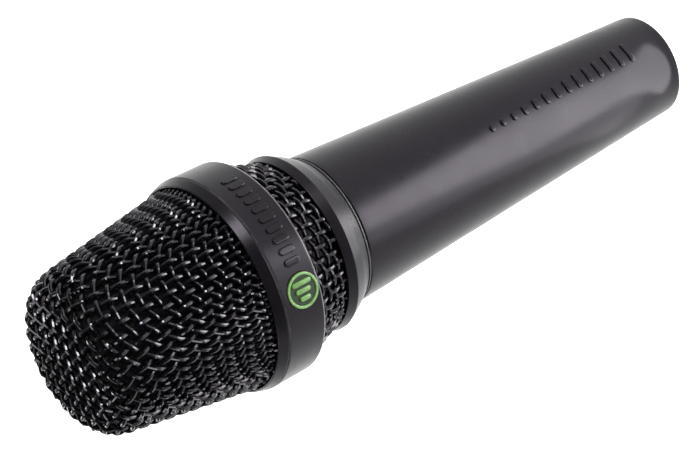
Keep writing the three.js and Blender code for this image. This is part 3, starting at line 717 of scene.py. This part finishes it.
# The strip's cloth runs round the neck: its rows wander up and down a little, and its uprights lean.
UPRIGHTS = 50
ROW_PITCH = 2.33
ROW_WANDER = 4.7
ROW_TURN = math.radians(-15)
ROW_START = 122.0
ROWS = range(-8, 4)
FIRST_UPRIGHT = math.radians(-61.5)
UPRIGHT_LEAN = 0.1


def row_height(azimuth):
    return ROW_START + ROW_WANDER * np.sin(azimuth - ROW_TURN)


def on_strip(azimuth, z, lift):
    radius = strip_radius(z) - WIRE_WAVE - WIRE_R + lift
    lean = math.atan2(STRIP_TOP_R - STRIP_BOTTOM_R, BAND_BOTTOM - COLLAR_TOP)
    line = around(radius, azimuth, z)
    return line, around(np.cos(lean), azimuth, np.full_like(azimuth, -math.sin(lean)))


def strip_uprights(bottom, top):
    step = ROW_PITCH / WIRE_STEPS
    z = np.arange(bottom, top + step / 2, step)
    middle = (bottom + top) / 2
    routes = []
    for upright in range(UPRIGHTS):
        azimuth = FIRST_UPRIGHT + 2 * math.pi * upright / UPRIGHTS
        leaning = azimuth + UPRIGHT_LEAN * np.cos(azimuth - ROW_TURN) * (z - middle) / STRIP_TOP_R
        rows = (z - row_height(leaning)) / ROW_PITCH
        over = (-1) ** upright * np.cos(math.pi * rows)
        routes.append(on_strip(leaning, z, WIRE_WAVE * over))
    return routes


def strip_rows(bottom, top):
    count = UPRIGHTS * WIRE_STEPS
    azimuth = FIRST_UPRIGHT + 2 * math.pi * np.arange(-count // 2, count // 2 + 1) / count
    routes = []
    for row in ROWS:
        z = row_height(azimuth) + row * ROW_PITCH
        over = -((-1) ** row) * np.cos((azimuth - FIRST_UPRIGHT) * UPRIGHTS / 2)
        line, normals = on_strip(azimuth, z, WIRE_WAVE * over)
        kept = np.flatnonzero((z > bottom) & (z < top))
        for run in np.split(kept, np.flatnonzero(np.diff(kept) > 1) + 1):
            if len(run) >= SHORTEST_RUN:
                routes.append((line[run], normals[run]))
    return routes


def make_grilles():
    fit(wires("front_grille_warp", basket_routes(0)), "head", "grille_wire", "front_grille")
    fit(wires("front_grille_weft", basket_routes(1)), "head", "grille_wire", "front_grille")
    bottom, top = lowest("rear_grille") + 0.2, highest("rear_grille") - 0.2
    fit(wires("rear_grille_uprights", strip_uprights(bottom, top)), "head", "grille_wire", "rear_grille")
    fit(wires("rear_grille_rows", strip_rows(bottom, top)), "head", "grille_wire", "rear_grille")


# ---- Foam behind the wire ----

FOAM_GAP = 0.3
FOAM_ROUGHNESS = 0.12
FRONT_FOAM_THICKNESS = 2.6
REAR_FOAM_THICKNESS = 1.6


def torn(obj):
    """Moves the points a little, so that cut foam isn't a smooth skin."""
    for corner in obj.data.vertices:
        away = Vector((corner.co.x, corner.co.y, 0)).normalized()
        corner.co += away * noise.noise(corner.co / (0.9 * MM)) * FOAM_ROUGHNESS * MM
    obj.data.update()
    return obj


def make_foam():
    top_inset = MESH_THICKNESS + FOAM_GAP + WIRE_R
    end = basket_length(RING_TOP)
    outer = [basket(along, -top_inset)[:2] for along in np.linspace(0.4, end, 60)]
    inner = [basket(along, -top_inset - FRONT_FOAM_THICKNESS)[:2] for along in np.linspace(end, 0.4, 30)]
    front = torn(turned("front_foam_liner", outer + inner, 160))
    fit(front, "head", "foam_black", "front_foam")
    bottom, top = lowest("rear_foam"), highest("rear_foam")
    heights = np.linspace(bottom, top, 24)
    wall = [(float(strip_radius(z)) - MESH_THICKNESS - 2 * FOAM_GAP, z) for z in heights]
    back = [(radius - REAR_FOAM_THICKNESS, z) for radius, z in reversed(wall)]
    rear = torn(turned("rear_foam_liner", wall + back, 160))
    fit(rear, "head", "foam_black", "rear_foam")


# ---- Raised marks ----

MARK_HEIGHT = 0.36
MARK_ROOT = 0.3
MARK_EDGE = 0.22


def pill(length, width):
    """A raised mark with round ends, as (along, across, up) points, and its faces."""
    half, end = length / 2, width / 2
    stations = [-half + end - end * math.cos(a) for a in np.linspace(0.12, math.pi / 2, 6)]
    stations += list(np.linspace(-half + end, half - end, 8)[1:-1]) + [-s for s in reversed(stations)]
    shares = np.sin(np.linspace(-math.pi / 2, math.pi / 2, 11))
    top = []
    for s in stations:
        past = max(0, abs(s) - (half - end))
        reach = math.sqrt(max(end**2 - past**2, 1e-4))
        for share in shares:
            t = share * reach
            edge = max(0.0, end - math.hypot(past, t))
            rise = min(1, edge / MARK_EDGE)
            top.append((s, t, MARK_HEIGHT * math.sqrt(rise * (2 - rise))))
    columns, rows = len(shares), len(stations)
    count = columns * rows
    points = top + [(s, t, -MARK_ROOT) for s, t, _ in top]
    cells = [(r * columns + c, r * columns + c + 1, (r + 1) * columns + c + 1, (r + 1) * columns + c)
             for r in range(rows - 1) for c in range(columns - 1)]
    faces = [*cells, *(tuple(count + k for k in reversed(cell)) for cell in cells)]
    border = [(0, c) for c in range(columns)]
    border += [(r, columns - 1) for r in range(1, rows)]
    border += [(rows - 1, c) for c in reversed(range(columns - 1))]
    border += [(r, 0) for r in range(rows - 2, 0, -1)]
    ring = [r * columns + c for r, c in border]
    for a, b in zip(ring, ring[1:] + ring[:1]):
        faces.append((a, count + a, count + b, b))
    return np.array(points), faces


def band_marks():
    """A row of plain upright ribs."""
    ribs = []
    first, last, count = -21, -75, 10
    for rib in range(count):
        points, faces = pill(4.2, 1.7)
        up, side, rise = points.T
        turn = math.radians(first + (last - first) * rib / (count - 1)) + side / BAND_R
        ribs.append(outward(made("rib", around(BAND_R - 0.1 + rise, turn, BADGE_Z + up), faces)))
    return joined("head_band_ribs", ribs)


def handle_marks():
    """A row of level bars that grow longer towards the handle's end, all starting from one line."""
    bars = []
    first_z, last_z, count, base = 60, 12.5, 14, math.radians(-61)
    for bar in range(count):
        share = bar / (count - 1)
        length = 1.6 + share * 3.9
        points, faces = pill(max(length, 1.7), 1.4)
        side, up, rise = points.T
        z = first_z + share * (last_z - first_z)
        turn = base + (side + length / 2) / handle_radius(z)
        bars.append(outward(made("bar", around(handle_radius(z + up) + rise, turn, z + up), faces)))
    return joined("handle_bars", bars)


# ---- Head ----

# The bore that the basket passes through.
HEAD_BORE_R = float(basket(basket_length(RING_TOP))[0]) + 0.1
RING_LIP = 0.4
SHELF_THICKNESS = 1.4
BAND_SKIRT = 1.1
POCKET_DEPTH = 0.65


def retaining_ring():
    outline = [
        (HEAD_BORE_R, RING_BOTTOM),
        (BAND_R, RING_BOTTOM),
        (HEAD_BORE_R + RING_LIP, RING_TOP),
        (HEAD_BORE_R, RING_TOP),
    ]
    return turned("retaining_ring_smooth", softened(outline, 0.2, 5))


def head_band():
    shelf_r = HEAD_BORE_R - MESH_THICKNESS - 1.1
    shelf_top = RIM_BOTTOM - 0.1
    skirt_r = BAND_R - BAND_SKIRT
    outer_r = BAND_R - 0.15
    outline = [
        (skirt_r, BAND_BOTTOM),
        (outer_r - 0.3, BAND_BOTTOM),
        (outer_r, BAND_BOTTOM + 0.55),
        (BAND_R, BAND_TOP - 0.25),
        (BAND_R - 0.55, BAND_TOP),
        (HEAD_BORE_R, BAND_TOP),
        (HEAD_BORE_R, shelf_top),
        (shelf_r, shelf_top),
        (shelf_r, shelf_top - SHELF_THICKNESS),
        (skirt_r, shelf_top - SHELF_THICKNESS),
    ]
    band = turned("head_band_smooth", softened(outline, 0.16, 4), 256)
    pocket = prism("pocket", circle(BADGE_R + 0.15, 96), BAND_R - POCKET_DEPTH, BAND_R + 4,
                   badge_facing(0))
    return combined(band, "DIFFERENCE", pocket)


def neck_collar():
    seat_z = COLLAR_TOP - 0.7
    seat_r = STRIP_BOTTOM_R - MESH_THICKNESS - 0.3
    bore_r = 15.7
    groove_r = 17.3
    groove_z = COLLAR_BOTTOM + 1.9
    outline = [
        (bore_r, COLLAR_BOTTOM),
        (COLLAR_BOTTOM_R - 0.2, COLLAR_BOTTOM),
        (COLLAR_BOTTOM_R, COLLAR_BOTTOM + 0.2),
        (COLLAR_BOTTOM_R + 1.75, COLLAR_BOTTOM + 3),
        (RIDGE_R, RIDGE_Z),
        (STRIP_BOTTOM_R + 0.1, COLLAR_TOP),
        (STRIP_BOTTOM_R + 0.1, seat_z),
        (seat_r, seat_z),
        (seat_r, COLLAR_TOP),
        (seat_r - 1, COLLAR_TOP),
        (bore_r, COLLAR_TOP - 1.15),
        (bore_r, groove_z + 0.9),
        (groove_r, groove_z + 0.9),
        (groove_r, groove_z - 0.9),
        (bore_r, groove_z - 0.9),
    ]
    return turned("neck_collar_smooth", softened(outline, 0.16))


SEAL_R = 16.4


def neck_oring():
    low, high = lowest("neck_oring"), highest("neck_oring")
    section = (high - low) / 2
    ring = [(SEAL_R + section * math.cos(a), (low + high) / 2 + section * math.sin(a))
            for a in np.linspace(0, 2 * math.pi, 24, endpoint=False)]
    return turned("neck_seal_ring", ring)


def badge_facing(y_out):
    """Places a piece made along +Z so that it faces -Y on the band, y_out from the axis."""
    return shifted(0, -y_out, BADGE_Z) @ Matrix.Rotation(math.pi / 2, 4, "X")


def badge_floor():
    floor, top = -0.55, -0.1
    dish = [(AXIS_R, floor), (BADGE_R - 0.02, floor), (BADGE_R - 0.02, top), (AXIS_R, top)]
    return turned("badge_floor", dish, 96, closed=False, place=badge_facing(BAND_R + 0.1))


def badge_relief():
    """The rim, and three level bars that grow longer, standing on the badge's floor."""
    rim_inner_r, root, rim_top = 3.35, -0.3, 0.12
    rim = [(rim_inner_r, root), (BADGE_R, root), (BADGE_R, rim_top), (rim_inner_r, rim_top)]
    parts = [turned("rim", softened(rim, 0.2, 4), 96, place=badge_facing(BAND_R + 0.1))]
    for bar, length in enumerate((2.8, 3.9, 5.0)):
        outline = rounded_rectangle(1.05, length, 0.5)
        place = badge_facing(BAND_R + 0.1) @ shifted((bar - 1) * 1.75)
        parts.append(prism("bar", outline, root, 0.28, place, bevel=0.16))
    return joined("badge_relief", parts)


def make_head():
    fit(retaining_ring(), "head", "casting_black", "retaining_ring")
    fit(head_band(), "head", "casting_black", "head_band")
    fit(band_marks(), "head", "casting_black", "head_band", material=MARK_GLOSS)
    fit(neck_collar(), "head", "casting_black", "neck_collar")
    fit(neck_oring(), "neck_seal", "rubber_black", "neck_oring")
    fit(badge_floor(), "head", "badge_green", "badge", material=BADGE_SHADE)
    fit(badge_relief(), "head", "badge_green", "badge")


# ---- Neck ----


def trim_ring():
    low, high = lowest("neck_trim_ring"), highest("neck_trim_ring")
    outline = [(15.4, low), (COLLAR_BOTTOM_R - 0.1, low), (COLLAR_BOTTOM_R - 0.1, high), (15.4, high)]
    return turned("neck_trim_smooth", softened(outline, 0.08))


def threaded_spigot():
    """The spigot's smooth land and skirt, and the thread's root above them; spigot_thread makes the
    helical thread.
    """
    inner_r = 12.2
    top, shoulder = highest("threaded_spigot"), HANDLE_TOP + 0.1
    bottom = lowest("threaded_spigot")
    root_r = SPIGOT_R - 0.5
    land_top = top - 4.8
    outline = [
        (inner_r, top), (root_r, top), (root_r, land_top), (SPIGOT_R, land_top - 0.3),
        (SPIGOT_R, shoulder), (14.4, shoulder), (14.4, bottom), (inner_r, bottom),
    ]
    return turned("spigot_smooth", softened(outline, 0.12), 128)


def spigot_thread():
    top = highest("threaded_spigot") - 0.5
    pitch, turns, steps = 1.5, 2.75, 96
    root_r = SPIGOT_R - 0.55
    section = [(0, -0.5), (0.5, -0.12), (0.5, 0.12), (0, 0.5)]
    corners = len(section)
    count = int(turns * steps) + 1
    points, faces = [], []
    for step in range(count):
        azimuth = 2 * math.pi * step / steps
        z = top - pitch * step / steps
        ease = min(1, step / 12, (count - 1 - step) / 12)
        for rise, dz in section:
            radius = root_r + rise * max(0.05, ease)
            points.append((radius * math.cos(azimuth), radius * math.sin(azimuth), z + dz * 0.9))
    for step in range(count - 1):
        faces.extend(between(corners * step, corners * (step + 1), corners))
    faces.extend(caps(0, corners * (count - 1), corners))
    return outward(made("spigot_thread", points, faces))


def make_neck():
    fit(trim_ring(), "handle", "plastic_black", "neck_trim_ring")
    fit(threaded_spigot(), "handle", "brass", "threaded_spigot")
    fit(spigot_thread(), "handle", "brass", "threaded_spigot")


# ---- Handle and switch ----

SWITCH_FACE_Y = handle_radius(SWITCH_Z) - 0.5

# From a frame with Z out of the handle and Y up along it, onto the switch's flat.
ON_SWITCH = (
    shifted(0, SWITCH_FACE_Y, SWITCH_Z)
    @ Matrix.Rotation(-HANDLE_TAPER, 4, "X")
    @ Matrix(((-1, 0, 0, 0), (0, 0, 1, 0), (0, 1, 0, 0), (0, 0, 0, 1)))
)
PLATE_WIDTH = 8.4
PLATE_LENGTH = 24
SCREW_PLACE = PLATE_LENGTH / 2 - 2.4
SCREW_R = 0.9
KNOB_WIDTH = 3.4
KNOB_LENGTH = 4.4
CLEARANCE = 0.3


def screw_holes(radius, bottom, top):
    return [prism("hole", circle(radius), bottom, top, ON_SWITCH @ shifted(0, place))
            for place in (-SCREW_PLACE, SCREW_PLACE)]


def handle_tube():
    end_round = 0.5
    bore_r = 10.65
    seat_r = 14.5
    seat_bottom = HANDLE_TOP - 12
    lip = 16
    down = np.linspace(1.5, HANDLE_TOP - 2, 12)
    arc = [(HANDLE_END_R - end_round + end_round * math.sin(a), end_round - end_round * math.cos(a))
           for a in np.linspace(0, math.pi / 2, 6)]
    mouth = [
        (handle_radius(HANDLE_TOP - 1), HANDLE_TOP - 1),
        (HANDLE_TOP_R - 0.05, HANDLE_TOP - 0.3),
        (HANDLE_TOP_R - 0.35, HANDLE_TOP),
        (seat_r, HANDLE_TOP),
    ]
    outline = [
        *arc,
        *((handle_radius(z), z) for z in down),
        *softened(mouth, 0.15, closed=False),
        (seat_r, seat_bottom),
        (handle_radius(seat_bottom) - 3.2, seat_bottom),
        (handle_radius(lip + 1.4) - 2.3, lip + 3.4),
        (bore_r - 1.2, lip + 1.4),
        (bore_r - 1.2, lip),
        (bore_r, lip),
        (bore_r, 0.3),
        (bore_r + 0.3, 0),
    ]
    tube = turned("handle_smooth", outline, 256)
    pocket = prism("pocket", rounded_rectangle(PLATE_WIDTH + 0.3, PLATE_LENGTH + 0.3, 1.6),
                   -PLATE_THICKNESS - 0.1, 5, ON_SWITCH)
    slot = prism("slot", rounded_rectangle(5.6, 14.2, 0.6), -8, 1, ON_SWITCH)
    holes = screw_holes(SCREW_R + 0.2, -8, 1)
    # The connector's screw goes in here, on the switch's side.
    tap = prism("tap", circle(1.4), 9, 15, shifted(0, 0, 8) @ Matrix.Rotation(-math.pi / 2, 4, "X"))
    return combined(tube, "DIFFERENCE", pocket, slot, *holes, tap)


def switch_plate():
    plate = prism("switch_plate_smooth", rounded_rectangle(PLATE_WIDTH, PLATE_LENGTH, 1.4, 10),
                  -PLATE_THICKNESS, 0, ON_SWITCH, bevel=0.2)
    opening = rounded_rectangle(
        KNOB_WIDTH + 2 * CLEARANCE, KNOB_LENGTH + SWITCH_TRAVEL + 2 * CLEARANCE, 0.5)
    slot = prism("slot", opening, -3, 3, ON_SWITCH)
    return combined(plate, "DIFFERENCE", slot, *screw_holes(SCREW_R + CLEARANCE, -3, 3))


def switch_cap():
    """The thumb piece: a flat foot under the plate and a knob with four round ridges."""
    rest = -SWITCH_TRAVEL / 2
    foot_top = -PLATE_THICKNESS - CLEARANCE
    foot_bottom = foot_top - 0.9
    knob_top = 0.95
    ridge_top = 1.3
    foot = prism("foot", rounded_rectangle(KNOB_WIDTH, KNOB_LENGTH + 2.2, 0.2), foot_bottom, foot_top,
                 ON_SWITCH @ shifted(0, rest))
    knob = prism("knob", rounded_rectangle(KNOB_WIDTH - 0.04, KNOB_LENGTH - 0.04, 0.3),
                 foot_top - 0.4, knob_top, ON_SWITCH @ shifted(0, rest), bevel=0.15)
    ridges = []
    for ridge in range(4):
        along = rest - KNOB_LENGTH / 2 + (ridge + 0.5) * KNOB_LENGTH / 4
        ridges.append(prism("ridge", rounded_rectangle(KNOB_WIDTH - 0.2, 0.66, 0.2), knob_top - 0.25,
                            ridge_top, ON_SWITCH @ shifted(0, along), bevel=0.2))
    return combined(foot, "UNION", knob, *ridges)


def plate_screw(name, place):
    """A pan head with a straight slot."""
    head_r = 1.8
    shank, seat = -2.4, 0.02
    outline = [(AXIS_R, shank), (SCREW_R, shank), (SCREW_R, seat), (head_r, seat), (head_r - 0.12, 0.5),
               (head_r - 0.7, 0.82), (AXIS_R, 0.9)]
    at = ON_SWITCH @ shifted(0, place)
    screw = turned(name, softened(outline, 0.12, closed=False), 64, closed=False, place=at)
    slot = prism("slot", rounded_rectangle(2.4 * head_r, 0.5, 0.02), 0.45, 2,
                 at @ Matrix.Rotation(math.radians(20 if place > 0 else -35), 4, "Z"))
    return combined(screw, "DIFFERENCE", slot)


def make_handle():
    fit(handle_tube(), "handle", "casting_black", "handle_tube")
    fit(handle_marks(), "handle", "casting_black", "handle_tube", material=MARK_GLOSS)
    fit(switch_plate(), "handle", "casting_black", "switch_plate")
    cap = switch_cap()
    cap.name = "switch_cap_smooth"
    fit(cap, "switch", "plastic_black", "switch_cap")
    fit(plate_screw("plate_screw_top", SCREW_PLACE), "handle", "steel", "plate_screw_upper")
    fit(plate_screw("plate_screw_bottom", -SCREW_PLACE), "handle", "steel", "plate_screw_lower")


# ---- Socket in the handle's end ----

SOCKET_R = 8.2
SHELL_R = 10.4
PIN_R = 1.2
PIN_CIRCLE_R = 3.75


def socket_shell():
    low, high = lowest("connector_shell"), highest("connector_shell")
    outline = [(SOCKET_R, low), (SHELL_R, low), (SHELL_R, high), (SOCKET_R, high)]
    shell = turned("socket_shell", softened(outline, 0.25), 96)
    key_bottom, key_top = 5.6, 11.6
    window_bottom, window_top = 2, 4.4
    key = prism("key", rounded_rectangle(1.6, 1.2, 0.3), key_bottom, key_top,
                shifted(0, SOCKET_R - 0.2))
    window = prism("window", rounded_rectangle(4.6, 4, 0.4), window_bottom, window_top,
                   shifted(0, SHELL_R - 1))
    combined(shell, "UNION", key)
    return combined(shell, "DIFFERENCE", window)


def pin_places():
    return [(PIN_CIRCLE_R * math.cos(a), PIN_CIRCLE_R * math.sin(a)) for a in np.radians([0, 180, 270])]


def socket_insulator():
    low, high = lowest("connector_insulator"), highest("connector_insulator")
    outline = [(AXIS_R, low), (SOCKET_R - 0.1, low), (SOCKET_R - 0.1, high), (AXIS_R, high)]
    disc = turned("socket_insulator", softened(outline, 0.15, closed=False), 96, closed=False)
    keyway = prism("keyway", rounded_rectangle(2.4, 2.6, 0.2), low - 2, high + 2, shifted(0, SOCKET_R))
    holes = [prism("hole", circle(PIN_R + CLEARANCE), low - 2, high + 2, shifted(x, y))
             for x, y in pin_places()]
    return combined(disc, "DIFFERENCE", keyway, *holes)


def socket_pin(name, node, x, y):
    low, high = lowest(node), highest(node)
    stub_r = PIN_R - 0.35
    outline = [(AXIS_R, low), (PIN_R - 0.5, low), (PIN_R, low + 0.7), (PIN_R, high), (stub_r, high),
               (stub_r, high - 2), (AXIS_R, high - 2)]
    return turned(name, softened(outline, 0.35, closed=False), 48, closed=False, place=shifted(x, y))


def make_socket():
    fit(socket_shell(), "handle", "steel", "connector_shell")
    fit(socket_insulator(), "handle", "plastic_black", "connector_insulator")
    for number, (x, y) in enumerate(pin_places(), 1):
        pin = socket_pin(f"socket_pin_{number}", f"pin_{number}", x, y)
        fit(pin, "handle", "contact_silver", f"pin_{number}")


# ---- Camera, floor and light ----

VIEW_AZIMUTH = math.radians(-21.5)
VIEW_ELEVATION = math.radians(30.86)
VIEW_ROLL = math.radians(-117.47)
VIEW_DISTANCE = 0.5432
VIEW_AIM = Vector((-0.00187, -0.00074, 0.09686))
VIEW_LENS = 123.27


def make_camera():
    camera = bpy.data.objects.new("camera", bpy.data.cameras.new("camera"))
    bpy.context.scene.collection.objects.link(camera)
    back = Vector((
        -math.sin(VIEW_AZIMUTH) * math.cos(VIEW_ELEVATION),
        -math.cos(VIEW_AZIMUTH) * math.cos(VIEW_ELEVATION),
        math.sin(VIEW_ELEVATION),
    ))
    level = (-back).to_track_quat("-Z", "Y").to_matrix().to_4x4()
    roll = Matrix.Rotation(VIEW_ROLL, 4, "Z")
    camera.matrix_world = Matrix.Translation(VIEW_AIM + back * VIEW_DISTANCE) @ level @ roll
    camera.data.lens = VIEW_LENS
    camera.data.sensor_width = 36
    camera.data.clip_start = 0.01
    bpy.context.scene.camera = camera


def pale_floor():
    finish = Finish("pale_floor", specular=0.2)
    finish.colour(finish.noise(180, 3), (0.9, 0.9, 0.905), (0.93, 0.93, 0.93))
    finish.roughness(finish.noise(60, 3), 0.85, 0.95)
    finish.relief(finish.noise(1.2, 3), 0.02, 0.3)
    # The floor glows as a table lit from below does, which keeps the shadows on it faint.
    finish.shader.inputs["Emission Color"].default_value = (1, 1, 1, 1)
    finish.shader.inputs["Emission Strength"].default_value = 0.65
    return finish.material


def make_floor():
    half = 2500
    corners = [(-half, -half, 0), (half, -half, 0), (half, half, 0), (-half, half, 0)]
    floor = made("floor", corners, [(0, 1, 2, 3)])
    floor.data.materials.append(pale_floor())


def softbox(name, azimuth, elevation, distance, size, power, aim=(0, 0, 0.1)):
    """A rectangular soft light, by where it stands round the microphone, in degrees and metres."""
    light = bpy.data.lights.new(name, "AREA")
    light.shape = "RECTANGLE"
    light.size, light.size_y = size
    light.energy = power
    box = bpy.data.objects.new(name, light)
    bpy.context.scene.collection.objects.link(box)
    a, e = math.radians(azimuth), math.radians(elevation)
    away = Vector((math.cos(a) * math.cos(e), math.sin(a) * math.cos(e), math.sin(e)))
    box.location = Vector(aim) + away * distance
    box.rotation_euler = (-away).to_track_quat("-Z", "Y").to_euler()
    return box


def studio_world():
    """Bright low down behind the microphone and at its sides, dark overhead and behind the camera."""
    world = bpy.data.worlds.new("studio")
    bpy.context.scene.world = world
    world.use_nodes = True
    tree = world.node_tree
    place = tree.nodes.new("ShaderNodeTexCoord")
    towards = tree.nodes.new("ShaderNodeVectorMath")
    towards.operation = "DOT_PRODUCT"
    behind = math.radians(100)
    towards.inputs[1].default_value = (math.cos(behind), math.sin(behind), -1.2)
    level = tree.nodes.new("ShaderNodeMapRange")
    level.inputs["From Min"].default_value = -0.75
    level.inputs["From Max"].default_value = -0.3
    level.inputs["To Min"].default_value = 0.12
    level.inputs["To Max"].default_value = 0.85
    tree.links.new(place.outputs["Generated"], towards.inputs[0])
    tree.links.new(towards.outputs["Value"], level.inputs["Value"])
    # Where a low view looks past the floor it sees plain white, whatever lights the microphone there.
    path = tree.nodes.new("ShaderNodeLightPath")
    shown_level = tree.nodes.new("ShaderNodeMath")
    shown_level.operation = "MAXIMUM"
    tree.links.new(path.outputs["Is Camera Ray"], shown_level.inputs[0])
    tree.links.new(level.outputs["Result"], shown_level.inputs[1])
    tree.links.new(shown_level.outputs["Value"], tree.nodes["Background"].inputs["Strength"])
    tree.nodes["Background"].inputs["Color"].default_value = (1, 0.995, 1, 1)


PANEL_AZIMUTH = -81.5


def glowing(radiance, width, length):
    """The power in watts that gives a panel its radiance."""
    return math.pi * radiance * width * length


def low_panel(name, near, far, width, radiance, azimuth=PANEL_AZIMUTH):
    """A panel lying in front, which satin surfaces mirror as a long soft highlight.

    It reaches from near to far and the camera doesn't see it."""
    length = far - near
    panel = softbox(name, azimuth, 0, (near + far) / 2, (width, length),
                    glowing(radiance, width, length), aim=(0, 0, 0.002))
    panel.rotation_euler = (math.pi, 0, math.radians(azimuth - 90))
    panel.visible_camera = False


def foot_panel(away, width, height, radiance):
    """A small upright panel that carries the highlight on down to the handle's end."""
    panel = softbox("foot_panel", PANEL_AZIMUTH, 0, away, (width, height),
                    glowing(radiance, width, height), aim=(0, 0, height / 2 + 0.001))
    panel.visible_camera = False


def make_light():
    studio_world()
    softbox("overhead", azimuth=110, elevation=75, distance=1.2, size=(0.7, 0.7), power=9)
    softbox("back_light", azimuth=111, elevation=31, distance=0.9, size=(0.5, 0.22), power=2.5)
    softbox("right_side", azimuth=-31, elevation=13, distance=0.8, size=(0.21, 0.2), power=5.4)
    softbox("left_side", azimuth=-150, elevation=30, distance=0.8, size=(0.2, 0.6), power=3.2)
    low_panel("low_panel", near=0.055, far=0.2, width=0.078, radiance=15.5)
    low_panel("far_panel", near=0.2, far=0.34, width=0.07, radiance=7.5, azimuth=-71)
    low_panel("side_panel", near=0.025, far=0.25, width=0.06, radiance=3.6, azimuth=-106)
    low_panel("near_panel", near=0.0135, far=0.032, width=0.022, radiance=9)
    foot_panel(away=0.034, width=0.034, height=0.022, radiance=9.5)
    bpy.context.scene.view_settings.view_transform = "Standard"


make_camera()
make_floor()
make_light()
dress_carried_over()
make_grilles()
make_foam()
make_head()
make_neck()
make_handle()
make_socket()
